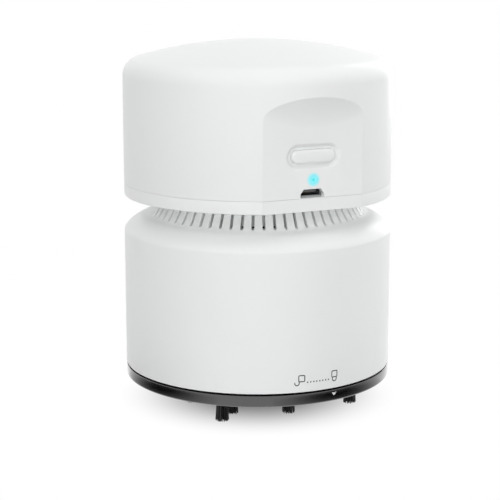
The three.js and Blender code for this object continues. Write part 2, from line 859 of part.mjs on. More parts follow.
function powerButton() {
  const back = flatBack - gap - buttonFlangeThickness;
  const flangeLength = buttonLength + 2 * buttonFlange;
  const flangeWidth = buttonWidth + 2 * buttonFlange;
  const flange = pillLoft(buttonHeight, [
    [back, flangeLength, flangeWidth],
    [flatBack - gap, flangeLength, flangeWidth],
  ]);
  const face = flatDistance - buttonSink;
  const rounding = buttonEdge * 2;
  const cap = pillLoft(buttonHeight, [
    [back + buttonFlangeThickness / 2, buttonLength, buttonWidth],
    [face - buttonEdge, buttonLength, buttonWidth],
    [face, buttonLength - rounding, buttonWidth - rounding],
  ]);
  return join(flange, cap);
}

const switchBack = boardFace + gap;
const switchFront = switchBack + switchDepth;
const plungerFront = flatBack - buttonFlangeThickness - 2 * gap;

function switchBody() {
  const half = switchSize / 2;
  const low = buttonHeight - half;
  const high = buttonHeight + half;
  const body = block(-half, half, -switchFront, -switchBack, low, high);
  const boreFoot = switchFront - plungerReach - buttonTravel - gap;
  const bore = frontRod(plungerRadius + gap, boreFoot, switchFront + overrun, 0, buttonHeight);
  return cut(join(body), bore);
}

function switchPlunger() {
  return join(frontRod(plungerRadius, switchFront - plungerReach, plungerFront, 0, buttonHeight));
}

function ledLens() {
  const back = switchBack + emitterDepth + gap;
  const flangeFront = flatBack - gap;
  return join(turned([
    [0, back],
    [lampRadius, back],
    [lampRadius, flangeFront - lampFlange],
    [lampReach, flangeFront - lampFlange],
    [lampReach, flangeFront],
    [lampRadius, flangeFront],
    [lampRadius, flatDistance],
    [0, flatDistance],
  ], pinSides).rotateX(quarterTurn).translate(0, 0, lampHeight));
}

function ledEmitter() {
  const half = emitterWidth / 2;
  const front = switchBack + emitterDepth;
  return join(block(-half, half, -front, -switchBack, lampHeight - half, lampHeight + half));
}

function usbShell() {
  const front = flatBack - gap;
  const outside = frontPrism(socketOutline(socketShell, socketShell), switchBack, front);
  const inside = frontPrism(socketOutline(0, socketShell), switchBack + socketShell, front + overrun);
  return cut(join(outside), inside);
}

function usbTongue() {
  const middle = headBaseHeight + socketShell + socketHeight / 2;
  const half = tongueWidth / 2;
  const back = switchBack + socketShell + gap;
  const front = flatBack - gap - tongueInset;
  const left = -socketOffset - half;
  const right = -socketOffset + half;
  const low = middle - tongueThickness / 2;
  return join(block(left, right, -front, -back, low, low + tongueThickness));
}

function controlBoard() {
  const half = boardWidth / 2;
  const back = boardThickness - boardFace;
  return join(block(-half, half, -boardFace, back, boardFoot, boardFoot + boardHeight));
}

const boardBack = boardFace - boardThickness - gap;

function chargeChip() {
  const middle = boardWidth * chipSideShare;
  const low = boardFoot + boardHeight * chipHeightShare;
  const half = chipWidth / 2;
  const [left, right] = [middle - half, middle + half];
  return join(block(left, right, -boardBack, chipDepth - boardBack, low, low + chipWidth));
}

function capacitor() {
  const height = boardFoot + boardHeight * capacitorHeightShare;
  const side = -boardWidth * chipSideShare;
  return join(frontRod(capacitorRadius, boardBack - capacitorLength, boardBack, side, height));
}

// Motor, heights from the deck's top

function motorDamper() {
  const ring = tube(deckBore, canRadius - damperInset, 0, damperThickness, motorSides);
  const way = screwWay(motorScrewCircle, 0, -overrun, damperThickness + overrun);
  return cut(join(ring), around(2, way));
}

function motorCan() {
  const can = turned([
    [bushRadius + pressGap, 0],
    [canRadius, 0],
    [canRadius, canHeight],
    [canRadius - canWall, canHeight],
    [canRadius - canWall, canWall],
    [bushRadius + pressGap, canWall],
  ], motorSides);
  const way = screwWay(motorScrewCircle, 0, -overrun, canWall + overrun);
  return cut(join(can), around(2, way));
}

function motorEndCap() {
  return join(turned([
    [bushRadius + pressGap, 0],
    [canRadius - capRim, 0],
    [canRadius, capRim],
    [canRadius, capHeight - capRim],
    [canRadius - capRim, capHeight],
    [bushRadius + pressGap, capHeight],
  ], motorSides));
}

function motorBush() {
  return join(tube(shaftRadius + pressGap, bushRadius, 0, bushLength, motorSides));
}

function magnet() {
  const outer = canRadius - canWall - gap;
  return join(sector(outer - magnetThickness, outer, 0, magnetHalfAngle, 0, magnetHeight, magnetSteps));
}

function armature() {
  const radius = canRadius - canWall - gap - magnetThickness - airGap;
  return join(tube(shaftRadius + pressGap, radius, 0, armatureHeight, motorSides));
}

// Impeller: plate on top with blades hanging towards the eye, heights from the plate's top

function blade(height) {
  const tip = impellerRadius - bladeTipInset;
  const half = bladeThickness / 2;
  const near = [];
  const far = [];
  for (let i = 0; i <= bladeSteps; i += 1) {
    const share = i / bladeSteps;
    const radius = bladeRoot + (tip - bladeRoot) * share;
    const turn = -bladeSweep * share ** 2;
    const across = half / radius;
    near.push([radius * Math.cos(turn - across), radius * Math.sin(turn - across)]);
    far.unshift([radius * Math.cos(turn + across), radius * Math.sin(turn + across)]);
  }
  return prism([...near, ...far], -height, bladeSink - impellerPlate);
}

const impellerTop = -skirtDrop - impellerTopGap;
const impellerHeight = impellerTop - webInHead - impellerFloorGap;

function impeller() {
  const plate = tube(shaftRadius + pressGap, impellerRadius, -impellerPlate, 0, innerSides);
  const hub = turned([
    [shaftRadius + pressGap, -impellerPlate / 2],
    [hubRadius, -impellerPlate / 2],
    [hubRadius, hubRadius - hubLength],
    [shaftRadius + pressGap + bladeThickness, -hubLength],
    [shaftRadius + pressGap, -hubLength],
  ], motorSides);
  const blades = around(bladeCount, blade(impellerHeight));
  return join(plate, hub, blades);
}

const shaftFoot = impellerTop - hubLength + gap;
const shaftTop = deckTop + canTop + gap + capHeight + shaftTail;

function motorShaft() {
  return join(rod(shaftRadius, 0, shaftTop - shaftFoot, motorSides));
}

// Cell lying across the back of the head, its cradle, and the leads

const cellHeight = headFloor + 2 * gap + cradleThickness + cellRadius;

function batteryCell() {
  const half = cellLength / 2;
  return join(turned([
    [0, -half],
    [cellRadius, -half],
    [cellRadius, half - cellNubLength],
    [cellNubRadius, half - cellNubLength],
    [cellNubRadius, half],
    [0, half],
  ], cellSides).rotateY(quarterTurn));
}

function batteryCradle() {
  const foot = cellHeight - cellRadius - gap - cradleThickness;
  const half = cellLength / 2 - cradleInset;
  const bar = block(-half, half, -cradleWidth / 2, cradleWidth / 2, foot, foot + cradleThickness);
  const reach = cellRadius + gap + saddleWall;
  const start = half - saddleInset - saddleThickness;
  const saddle = block(start, start + saddleThickness, -reach, reach, foot, cellHeight);
  const room = rod(cellRadius + gap, -cellLength, cellLength, cellSides).rotateY(quarterTurn);
  return cut(join(bar, saddle, spun(saddle, 2 * quarterTurn)), room.translate(0, 0, cellHeight));
}

function lead(points) {
  const route = new THREE.CatmullRomCurve3(points.map((point) => new THREE.Vector3(...point)));
  const outline = new THREE.Shape(arc(leadRadius, 0, fullTurn, leadSides).slice(1).map(([x, y]) => (
    new THREE.Vector2(x, y)
  )));
  const options = { steps: leadSteps, extrudePath: route, bevelEnabled: false };
  return join(outward(new THREE.ExtrudeGeometry(outline, options)));
}

// From one end of the cell round the motor to the back of the board
function batteryLead(side) {
  const start = cellLength / 2 + gap + leadRadius;
  const top = boardFoot + boardHeight - leadInset;
  const end = boardWidth * chipSideShare;
  return lead([
    [side * start, cellOffset, cellHeight],
    [side * (start + cellLeadBow), cellOffset, cellHeight + cellLeadRise / 2],
    [side * (start + cellLeadBow), cellOffset / 2, cellHeight + cellLeadRise],
    [side * start, -cellLeadFront, top],
    [side * (end + cellLeadTurn), -cellOffset, top],
    [side * end, leadLanding - boardBack, top],
    [side * end, -boardBack, top],
  ]);
}

// From the motor's end cap forwards to the back of the board
function motorLead(side) {
  const start = deckTop + canTop + capHeight + 2 * gap;
  const end = boardFoot + boardHeight - leadInset;
  return lead([
    [side * motorLeadOut, 0, start],
    [side * motorLeadOut, -leadRadius, start + motorLeadLoop],
    [side * motorLeadOut, -motorLeadFront, start + motorLeadLoop],
    [side * motorLeadSide, leadLanding - boardBack, end],
    [side * motorLeadSide, -boardBack, end],
  ]);
}

// Finishes

const finish = (color, roughness, metalness) => ({ color, roughness, metalness });
const whitePlastic = finish(0xf0f2f1, 0.25, 0);
const glossBlack = finish(0x0b0b0c, 0.12, 0);
const mattBlack = finish(0x161617, 0.55, 0);
const bristleBlack = finish(0x0d0d0e, 0.7, 0);
const darkRubber = finish(0x222224, 0.8, 0);
const steel = finish(0xb9bcc0, 0.35, 1);
const zinc = finish(0xc9ccd0, 0.4, 1);
const brassTone = finish(0xb08a4c, 0.4, 1);
const magnetGrey = finish(0x4a4b4e, 0.6, 0.3);
const copper = finish(0xa85f38, 0.5, 0.8);
const boardGreen = finish(0x1f5a3a, 0.5, 0);
const chipBlack = finish(0x1b1b1d, 0.5, 0);
const cellWrap = finish(0x2d6f9f, 0.35, 0);
const padGrey = finish(0xd5d5cf, 0.95, 0);
const lampGlow = finish(0x62eaff, 0.3, 0);
const redWire = finish(0xb3261e, 0.5, 0);
const blackWire = finish(0x1d1d1f, 0.5, 0);
const socketBlack = finish(0x101011, 0.5, 0);

function geometryOf(made) {
  const mesh = made.getMesh();
  const geometry = new THREE.BufferGeometry();
  geometry.setAttribute("position", new THREE.BufferAttribute(mesh.vertProperties, 3));
  geometry.setIndex(new THREE.BufferAttribute(mesh.triVerts, 1));
  geometry.computeVertexNormals();
  return geometry;
}

function piece(name, made, look) {
  const mesh = new THREE.Mesh(geometryOf(made), new THREE.MeshStandardMaterial(look));
  mesh.name = name;
  return mesh;
}

function place(group, mesh, x, y, z) {
  mesh.position.set(x, y, z);
  group.add(mesh);
  return mesh;
}

// Assembly: base, drum and head stand on each other, and the motor stands on the head's deck

const vacuum = new THREE.Group();

const base = new THREE.Group();
base.position.z = bristleReach;
vacuum.add(base);
place(base, piece("base_ring", baseRing(), glossBlack), 0, 0, 0);
place(base, piece("suction_plate", suctionPlate(), mattBlack), 0, 0, 0);
place(base, piece("base_seal", baseSeal(), darkRubber), 0, 0, ringHeight + gap);
const carrier = brushCarrier();
const baseScrew = screw(baseScrewLength, true);
for (let k = 0; k < carrierCount; k += 1) {
  const brush = place(base, piece(`brush_carrier_${k + 1}`, carrier, bristleBlack), 0, 0, 0);
  brush.rotation.z = (fullTurn * k) / carrierCount;
  const angle = baseScrewAngle(k);
  const x = baseScrewCircle * Math.cos(angle);
  const y = baseScrewCircle * Math.sin(angle);
  place(base, piece(`base_screw_${k + 1}`, baseScrew, zinc), x, y, plateInset);
}

const drum = new THREE.Group();
drum.position.z = drumFoot;
vacuum.add(drum);
place(drum, piece("body_shell", bodyShell(), whitePlastic), 0, 0, 0);
const sealFoot = webHeight - gap - filterSealHeight;
const filterFoot = sealFoot - gap - filterHeight;
place(drum, piece("filter_frame", filterFrame(), mattBlack), 0, 0, filterFoot);
place(drum, piece("filter_pad", filterPad(), padGrey), 0, 0, filterFoot + filterFloor + gap);
place(drum, piece("filter_seal", filterSeal(), darkRubber), 0, 0, sealFoot);
const bodyScrew = screw(bodyScrewLength, false);
for (let k = 0; k < postCount; k += 1) {
  const angle = quarterTurn + (fullTurn * k) / postCount;
  const x = postCircle * Math.cos(angle);
  const y = postCircle * Math.sin(angle);
  place(drum, piece(`body_screw_${k + 1}`, bodyScrew, zinc), x, y, webHeight - gap - screwHeadHeight);
}

const head = new THREE.Group();
head.position.z = headFoot;
vacuum.add(head);
place(head, piece("top_shell", topShell(), whitePlastic), 0, 0, 0);
place(head, piece("head_base", headBase(), whitePlastic), 0, 0, 0);
place(head, piece("power_button", powerButton(), whitePlastic), 0, 0, 0);
place(head, piece("switch_plunger", switchPlunger(), socketBlack), 0, 0, 0);
place(head, piece("switch_body", switchBody(), zinc), 0, 0, 0);
place(head, piece("led_lens", ledLens(), lampGlow), 0, 0, 0);
place(head, piece("led_emitter", ledEmitter(), lampGlow), 0, 0, 0);
place(head, piece("usb_shell", usbShell(), steel), 0, 0, 0);
place(head, piece("usb_tongue", usbTongue(), socketBlack), 0, 0, 0);
place(head, piece("control_board", controlBoard(), boardGreen), 0, 0, 0);
place(head, piece("charge_chip", chargeChip(), chipBlack), 0, 0, 0);
place(head, piece("capacitor", capacitor(), magnetGrey), 0, 0, 0);
place(head, piece("battery_cradle", batteryCradle(), mattBlack), 0, cellOffset, 0);
place(head, piece("battery_cell", batteryCell(), cellWrap), 0, cellOffset, cellHeight);
place(head, piece("battery_lead_red", batteryLead(1), redWire), 0, 0, 0);
place(head, piece("battery_lead_black", batteryLead(-1), blackWire), 0, 0, 0);
place(head, piece("motor_lead_red", motorLead(1), redWire), 0, 0, 0);
place(head, piece("motor_lead_black", motorLead(-1), blackWire), 0, 0, 0);
const headScrew = screw(headScrewLength, true);
for (let k = 0; k < headScrewCount; k += 1) {
  const angle = (fullTurn * k) / headScrewCount;
  const x = headScrewCircle * Math.cos(angle);
  const y = headScrewCircle * Math.sin(angle);
  place(head, piece(`head_screw_${k + 1}`, headScrew, zinc), x, y, 0);
}

const motor = new THREE.Group();
motor.position.z = deckTop;
head.add(motor);
place(motor, piece("motor_damper", motorDamper(), darkRubber), 0, 0, gap);
place(motor, piece("motor_can", motorCan(), steel), 0, 0, canFoot);
place(motor, piece("motor_end_cap", motorEndCap(), mattBlack), 0, 0, canTop + gap);
place(motor, piece("motor_bush_lower", motorBush(), brassTone), 0, 0, canFoot);
place(motor, piece("motor_bush_upper", motorBush(), brassTone), 0, 0, canTop);
const magnetBottom = canFoot + magnetFoot;
place(motor, piece("motor_magnet_right", magnet(), magnetGrey), 0, 0, magnetBottom);
const leftMagnet = place(motor, piece("motor_magnet_left", magnet(), magnetGrey), 0, 0, magnetBottom);
leftMagnet.rotation.z = 2 * quarterTurn;
place(motor, piece("armature", armature(), copper), 0, 0, canFoot + armatureFoot);
const motorScrew = screw(motorScrewLength, false);
for (const side of [1, -1]) {
  const name = side > 0 ? "motor_screw_1" : "motor_screw_2";
  place(motor, piece(name, motorScrew, zinc), side * motorScrewCircle, 0, -deckThickness);
}
place(head, piece("motor_shaft", motorShaft(), steel), 0, 0, shaftFoot);
place(head, piece("impeller", impeller(), mattBlack), 0, 0, impellerTop);

export default vacuum;
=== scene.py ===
"""Desktop mini vacuum cleaner: a white drum and domed head over a glossy black twist-lock base.

Metres, +Z up, the floor at zero and the control flat facing -Y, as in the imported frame.
"""
import math
import random

import bmesh
import bpy
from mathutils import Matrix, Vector


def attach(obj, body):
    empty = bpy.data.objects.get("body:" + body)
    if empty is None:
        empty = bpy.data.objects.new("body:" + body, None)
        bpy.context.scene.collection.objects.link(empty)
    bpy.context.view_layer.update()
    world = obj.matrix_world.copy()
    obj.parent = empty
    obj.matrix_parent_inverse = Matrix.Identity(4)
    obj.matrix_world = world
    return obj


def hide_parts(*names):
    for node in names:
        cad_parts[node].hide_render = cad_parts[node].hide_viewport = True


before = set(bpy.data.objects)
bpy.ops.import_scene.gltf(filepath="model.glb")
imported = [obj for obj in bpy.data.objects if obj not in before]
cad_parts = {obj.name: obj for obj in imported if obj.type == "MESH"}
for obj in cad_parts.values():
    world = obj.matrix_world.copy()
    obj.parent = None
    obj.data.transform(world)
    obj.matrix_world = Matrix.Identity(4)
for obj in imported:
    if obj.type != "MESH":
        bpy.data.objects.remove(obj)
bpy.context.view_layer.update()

# How finely things are turned, and how cutting shapes run past what they cut
SHELL_STEPS = 256
RING_STEPS = 160
PIN_STEPS = 40
CORNER_STEPS = 5
PILL_STEPS = 64
WELD = 1e-6
OVERRUN = 0.002
GAP = 0.0003
FULL_TURN = 2 * math.pi
QUARTER_TURN = math.pi / 2
SMOOTH_ANGLE = math.radians(28)
SHARP_ANGLE = math.radians(40)
EDGE_ANGLE = math.radians(30)

# Drum, shoulder and neck
DRUM_RADIUS = 0.04093
DRUM_BORE = 0.0392
DRUM_FOOT = 0.01188
DRUM_EDGE = 0.0002
SHOULDER_CURVE = ((0.04093, 0.0532), (0.0408, 0.0549), (0.0373, 0.0573), (0.0350, 0.0579))
NECK_SWEEP = ((0.0350, 0.0579), (0.0336, 0.0582), (0.0328, 0.0588), (0.0323, 0.0597))
NECK_TOP = (0.0297, 0.0641)
NECK_EDGE = 0.00012
NECK_WALL = 0.0016
NECK_INNER_FOOT = (0.030578, 0.0566)
SHOULDER_INNER_FOOT = 0.0524
SHOULDER_STEPS = 18
SWEEP_STEPS = 8
CREASE_ANGLE = math.radians(9)
HEAD_CREASE = math.radians(12)
WEB_TOP = 0.0486
WEB_FOOT = 0.0470
EYE_RADIUS = 0.0135
SLOT_COUNT = 64
SLOT_WIDTH = 0.00086
SLOT_FOOT = 0.05855
SLOT_TOP = 0.0632
SLOT_INNER = 0.0274
SLOT_OUTER = 0.0350
SLOT_STEPS = 8
SLOT_START = math.radians(0.75)

# Twist lock between drum and base
LUG_COUNT = 4
LUG_ANGLE = math.radians(14)
LUG_ROOT = 0.0005
LUG_STEPS = 12
DRUM_LUG = (0.0378, 0.0144, 0.0164)
STOP_ANGLE = math.radians(3)
STOP_MIDDLE = math.radians(9)
STOP_TOP = 0.0187
BASE_LUG = (0.0387, 0.0167, 0.0187)

# Base ring, its collar, ledge and bosses
RING_RADIUS = 0.04087
RING_FOOT = 0.0079
RING_TOP = 0.0113
RING_EDGE = 0.0005
RING_TOP_EDGE = 0.00012
RING_BORE = 0.0347
COLLAR_RADIUS = 0.0372
COLLAR_BORE = 0.0352
COLLAR_TOP = 0.0195
LEDGE_BORE = 0.0295
LEDGE_FOOT = 0.0117
LEDGE_TOP = 0.0132
BASE_BOSS_TOP = 0.0165
BASE_SCREW_CIRCLE = 0.0320
BASE_SCREW_START = math.radians(67.5)

# Suction plate with its funnel and tube
PLATE_RADIUS = 0.0344
PLATE_FOOT = 0.0089
PLATE_TOP = 0.0114
MOUTH_RADIUS = 0.0150
MOUTH_EDGE = 0.0008
THROAT_RADIUS = 0.0100
THROAT_HEIGHT = 0.0144
THROAT_EDGE = 0.0015
TUBE_WALL = 0.0016
TUBE_TOP = 0.0240
TUBE_EDGE = 0.0004

# Brush carriers with their pegs and tufts
CARRIER_COUNT = 4
CARRIER_INNER = 0.0197
CARRIER_OUTER = 0.0332
CARRIER_FOOT = 0.0082
CARRIER_TOP = 0.0096
CARRIER_SWEEP = math.radians(63)
CARRIER_BEVEL = 0.0003
POCKET_TOP = 0.0099
PEG_RADIUS = 0.0011
PEG_CIRCLE = 0.02645
PEG_TOP = 0.0111
PEG_ANGLES = (math.radians(-2.25), math.radians(47.25))
TUFT_PITCH = math.radians(45)
INNER_TUFTS = 0.0226
OUTER_TUFTS = 0.0303
TUFT_RADIUS = 0.00150
TUFT_SPLAY = 0.00045
TUFT_JITTER = 0.00022
TUFT_UNEVEN = 0.00035
TUFT_TOP = 0.0086
BRISTLES_IN_TUFT = 72
BRISTLE_SIDES = 4
BRISTLE_RADIUS = 0.00015
BRISTLE_TAPER = 0.7
GOLDEN_TURN = math.radians(137.5)
BRUSH_SEED = 7

# Head
HEAD_RADIUS = 0.04086
HEAD_WALL = 0.0020
HEAD_FOOT = 0.0644
HEAD_EDGE = 0.0004
HEAD_BASE_TOP = 0.06821
SHELL_FOOT = 0.06825
SHELL_EDGE = 0.00006
HEAD_WALL_TOP = 0.10025
HEAD_FILLET = 0.0058
HEAD_TOP = 0.1109
FILLET_STEPS = 12
DOME_STEPS = 22
BOSS_RADIUS = 0.0024
BOSS_FOOT = 0.0667
FLOOR_TOP = 0.0664
LIP_RADIUS = 0.03856
LIP_WALL = 0.0015
LIP_TOP = 0.0701
LIP_FLAT = 0.03534
BUCKET_RADIUS = 0.0270
SKIRT_TOP = (0.0276, 0.0644)
SKIRT_FOOT = 0.0290
SKIRT_INNER = 0.0277
SKIRT_LOW = 0.0589
SKIRT_EDGE = 0.0001
BUCKET_WALL = 0.0016
BUCKET_FOOT = 0.0593
DECK_TOP = 0.0615
SHAFT_WAY = 0.0038
POST_COUNT = 3
POST_CIRCLE = 0.0229
POST_RADIUS = 0.0023
POST_FOOT = 0.0489
GUIDE_TOP = 0.0784
GUIDE_PLAN = (
    (0.0102, 0.0305),
    (0.0128, 0.0305),
    (0.0128, 0.0269),
    (0.0102, 0.0269),
    (0.0102, 0.0278),
    (0.0113, 0.0278),
    (0.0113, 0.0296),
    (0.0102, 0.0296),
)

# Control flat and its scooped upper end
FLAT_DISTANCE = HEAD_RADIUS * math.cos(math.radians(22.9))
SCOOP_SPRING = 0.0912
SCOOP_RISE = 0.0060
SCOOP_SAG = 0.0030
SCOOP_BOW = 1.6
SCOOP_ACROSS = 48
SCOOP_ALONG = 16

# Button and its well
BUTTON_HEIGHT = 0.08020
BUTTON_LENGTH = 0.0137
BUTTON_WIDTH = 0.0038
BUTTON_EDGE = 0.0006
BUTTON_EDGE_SHARE = 0.85
BUTTON_RISE = 0.0004
BUTTON_FLANGE = 0.0010
BUTTON_CROWN = ((0.0003, 0.00003), (0.0004, 0.00002), (0.0004, 0.00001))
FLANGE_THICKNESS = 0.0008
SLIDE_GAP = 0.00006
SEAT_GAP = 0.00004
EDGE_STEPS = 5
WELL_LENGTH = 0.0174
WELL_WIDTH = 0.0076
WELL_SLOPE = 0.0015
WELL_DEPTH = 0.0012
WELL_STEPS = 16

# Lamp and socket
LAMP_HEIGHT = 0.0735
LAMP_RADIUS = 0.0012
LAMP_PLACE = (0, -FLAT_DISTANCE, LAMP_HEIGHT)
LENS_BACK = 0.0318
LENS_FLANGE = 0.0007
LENS_DOME = 0.00012
LENS_EDGE = 0.0001
# How far the glow painted into the shell round the lens reaches
PAINTED_GLOW_REACH = 0.0024
CHIP_RADIUS = 0.00012
CHIP_SOFT = 0.00030
SOCKET_OFFSET = 0.00035
SOCKET_FOOT = 0.06838
SOCKET_WIDTH = 0.0070
SOCKET_PLAY = 0.00025
SOCKET_HEIGHT = 0.00245
SOCKET_SHELL = 0.0003
SOCKET_BACK = 0.0296
SOCKET_BEVEL = 0.00008
SOCKET_SHARES = ((-0.5, 0), (0.5, 0), (0.5, 0.45), (0.36, 1), (-0.36, 1), (-0.5, 0.45))
NOTCH_HALF = 0.0041
TONGUE_WIDTH = 0.0052
TONGUE_THICKNESS = 0.0007
TONGUE_FOOT = SOCKET_FOOT + SOCKET_SHELL + (SOCKET_HEIGHT - TONGUE_THICKNESS) / 2
TONGUE_BACK = 0.0302
TONGUE_FRONT = 0.03484
CONTACT_COUNT = 5
CONTACT_PITCH = 0.00065
CONTACT_WIDTH = 0.0003
CONTACT_PROUD = 0.00008

# Screws
SCREW_HEAD = 0.0019
SCREW_HEAD_EDGE = 0.0004
SCREW_HEAD_HEIGHT = 0.0010
SCREW_SHANK = 0.0010
SCREW_TIP = 0.0006
SCREW_CROSS = 0.0005
SCREW_CROSS_SHARE = 0.6
SCREW_CROSS_DEPTH = 0.0006
SCREW_WAY = 0.0013
SINK_RADIUS = 0.0022
SINK_DEPTH = 0.0013
BASE_SCREW_LENGTH = 0.0060
HEAD_SCREW_LENGTH = 0.0080
HEAD_SCREW_CIRCLE = 0.0340
HEAD_SCREW_COUNT = 2
BODY_SCREW_LENGTH = 0.0070
BODY_SCREW_FOOT = 0.0457
MOTOR_SCREW_CIRCLE = 0.0070
MOTOR_SCREW_COUNT = 2

# Kind of node, how many, body, then length, circle, angle of the first and height of the head
SCREWS = (
    (
        "base_screw", CARRIER_COUNT, "base",
        BASE_SCREW_LENGTH, BASE_SCREW_CIRCLE, BASE_SCREW_START, PLATE_FOOT,
    ),
    (
        "head_screw", HEAD_SCREW_COUNT, "housing",
        HEAD_SCREW_LENGTH, HEAD_SCREW_CIRCLE, 0, HEAD_FOOT,
    ),
    (
        "body_screw", POST_COUNT, "housing",
        BODY_SCREW_LENGTH, POST_CIRCLE, QUARTER_TURN, BODY_SCREW_FOOT,
    ),
)

# Filter and seals
FILTER_RADIUS = 0.0386
FILTER_BORE = 0.0340
FILTER_FOOT = 0.0385
FILTER_TOP = 0.0446
FILTER_FLOOR_TOP = 0.0403
FILTER_HUB = 0.0060
FILTER_EDGE = 0.0003
SPOKE_COUNT = 6
SPOKE_WIDTH = 0.0024
PULL_LENGTH = 0.0100
PULL_THICKNESS = 0.0020
PULL_FOOT = 0.0355
PULL_BEVEL = 0.0004
PAD_RADIUS = 0.0336
PAD_FOOT = 0.0407
PAD_TOP = 0.0445
PAD_EDGE = 0.0008
PAD_RINGS = 18
PAD_LUMP = 0.0016
PAD_RELIEF = 0.00018
SEAL_EDGE = 0.0003
BASE_SEAL = (0.0375, 0.0389, 0.0122, 0.0139)
FILTER_SEAL = (0.03412, 0.0389, 0.0449, 0.0467)

# Printed marks, with their azimuths from the front and their heights
MARK_LINE = 0.00030
MARK_BACK = 0.0395
MARK_FRONT = 0.0415
MARK_SINK = 0.00010
MARK_PROUD = 0.000015
MARK_LOW = 0.0085
MARK_HIGH = 0.0190
LOCK_SIZE = 0.00215
LOCK_ROUNDING = 0.00045
OPEN_LOCK = math.radians(-6.75)
OPEN_LOCK_HEIGHT = 0.01605
OPEN_HOOK = math.radians(-8.8)
OPEN_HOOK_TOP = 0.0151
HOOK_LOW = 0.0139
HOOK_WIDTH = 0.00165
HOOK_TIP = 0.0150
HOOK_STEPS = 12
CLOSED_LOCK = math.radians(8.3)
CLOSED_LOCK_HEIGHT = 0.01620
CLOSED_HOOK_TOP = 0.01525
DOT_COUNT = 8
DOT_START = math.radians(-4.2)
DOT_PITCH = math.radians(1.37)
DOT_HEIGHT = 0.0148
DOT_SIZE = 0.00040
POINTER_TURN = math.radians(8.3)
POINTER_HALF = 0.00085
POINTER_TOP = 0.01062
POINTER_DIP = 0.01042
POINTER_TIP = 0.00962

# Finishes: the two shades that each goes between, its fixed settings and what its maker needs.
# Scales are in waves a metre, and a swing is how far a pattern moves the roughness.
BLACK = (0, 0, 0)
WHITE = (1, 1, 1)
SHADES = {
    "white_plastic": ((0.862, 0.878, 0.872), (0.882, 0.894, 0.888)),
    "black_gloss": ((0.003, 0.003, 0.0034), (0.005, 0.005, 0.0056)),
    "black_plastic": ((0.010, 0.010, 0.011), (0.018, 0.018, 0.019)),
    "grey_plastic": ((0.11, 0.11, 0.115), (0.15, 0.15, 0.155)),
    "steel": ((0.44, 0.45, 0.47), (0.56, 0.57, 0.59)),
    "zinc": ((0.50, 0.52, 0.54), (0.64, 0.66, 0.68)),
    "brass": ((0.38, 0.22, 0.07), (0.52, 0.32, 0.12)),
    "magnet": ((0.05, 0.051, 0.054), (0.09, 0.091, 0.094)),
    "rubber": ((0.014, 0.014, 0.015), (0.028, 0.028, 0.029)),
    "capacitor_sleeve": ((0.055, 0.056, 0.06), (0.085, 0.086, 0.09)),
    "cell_wrap": ((0.02, 0.13, 0.30), (0.035, 0.19, 0.40)),
    "red_wire": ((0.38, 0.014, 0.009), (0.52, 0.026, 0.017)),
    "black_wire": ((0.009, 0.009, 0.011), (0.016, 0.016, 0.018)),
    "grey_print": ((0.030, 0.031, 0.033), (0.045, 0.046, 0.048)),
    "white_print": ((0.80, 0.80, 0.80), (0.88, 0.88, 0.88)),
    "lamp_light": ((0.05, 0.30, 0.34), (0.12, 0.36, 0.38)),
    "bristle_nylon": ((0.003, 0.003, 0.0035), (0.014, 0.014, 0.016)),
    "filter_felt": ((0.46, 0.46, 0.42), (0.76, 0.76, 0.71)),
    "circuit_board": ((0.008, 0.07, 0.03), (0.02, 0.12, 0.055)),
    "copper_winding": ((0.30, 0.09, 0.03), (0.46, 0.15, 0.055)),
    "floor_paper": ((0.45, 0.45, 0.45), (0.47, 0.47, 0.47)),
}
SETTINGS = {
    "white_plastic": {"Specular_IOR_Level": 0.5, "Coat_Weight": 0.10, "Coat_Roughness": 0.12},
    "black_gloss": {"Specular_IOR_Level": 1, "Coat_Weight": 1, "Coat_Roughness": 0.12},
    "cell_wrap": {"Coat_Weight": 0.3},
    "lamp_light": {"Roughness": 0.12, "Emission_Strength": 1},
    "bristle_nylon": {"Specular_IOR_Level": 0.4},
    "filter_felt": {"Sheen_Weight": 0.3, "Sheen_Roughness": 0.6, "Specular_IOR_Level": 0.1},
    "circuit_board": {"Specular_IOR_Level": 0.5},
    "copper_winding": {"Metallic": 0.9},
    "floor_paper": {"Roughness": 0.9, "Specular_IOR_Level": 0.1},
    "flag_card": {"Roughness": 1, "Specular_IOR_Level": 0, "Emission_Strength": 1},
}
# Moulded plastics: roughness, strength of the grain, rounding of the edges
MOULDED = {
    "white_plastic": (0.42, 0.05, 0.00016),
    "black_gloss": (0.16, 0.02, 0.00012),
    "black_plastic": (0.46, 0.25, 0.00015),
    "grey_plastic": (0.46, 0.25, 0.00005),
}
MOULD_RELIEF = 0.00002
MOULD_SWING = 0.06
# Metals: roughness, stretch of the grain
METALS = {
    "steel": (0.32, (1, 1, 0.06)),
    "zinc": (0.40, (1, 1, 1)),
    "brass": (0.30, (1, 0.1, 1)),
}
METAL_RELIEF = 0.00001
METAL_SWING = 0.14
METAL_CLOUD_SWING = 0.06
# Plain coats: roughness, scale of the grain, strength of the grain
COATS = {
    "magnet": (0.62, 2200, 0.5),
    "rubber": (0.72, 1600, 0.4),
    "capacitor_sleeve": (0.34, 500, 0.2),
    "cell_wrap": (0.30, 260, 0.5),
    "red_wire": (0.42, 900, 0.2),
    "black_wire": (0.42, 900, 0.2),
    "grey_print": (0.42, 1500, 0.2),
    "white_print": (0.42, 1500, 0.2),
}
COAT_RELIEF = 0.00005
COAT_SWING = 0.1
STRAND_STRETCH = (1, 1, 0.05)
STRAND_RELIEF = 0.00004
FIBRE_SHARE = 0.6
FELT_RELIEF = 0.0003
TRACK_GREEN = (0.03, 0.2, 0.09)
TRACK_EDGE = (0.30, 0.36)
TRACK_RELIEF = 0.00004
TURN_RELIEF = 0.0001
BEVEL_SAMPLES = 6
# Painted glow round the lens: the cyan tint painted into the shell's colour, and its faint
# emission
PAINTED_GLOW_TINT = (0.30, 0.86, 0.90)
PAINTED_GLOW_LIGHT = (0.0, 0.09, 0.13)
LAMP_MIDDLE = (0.09, 0.58, 0.60)
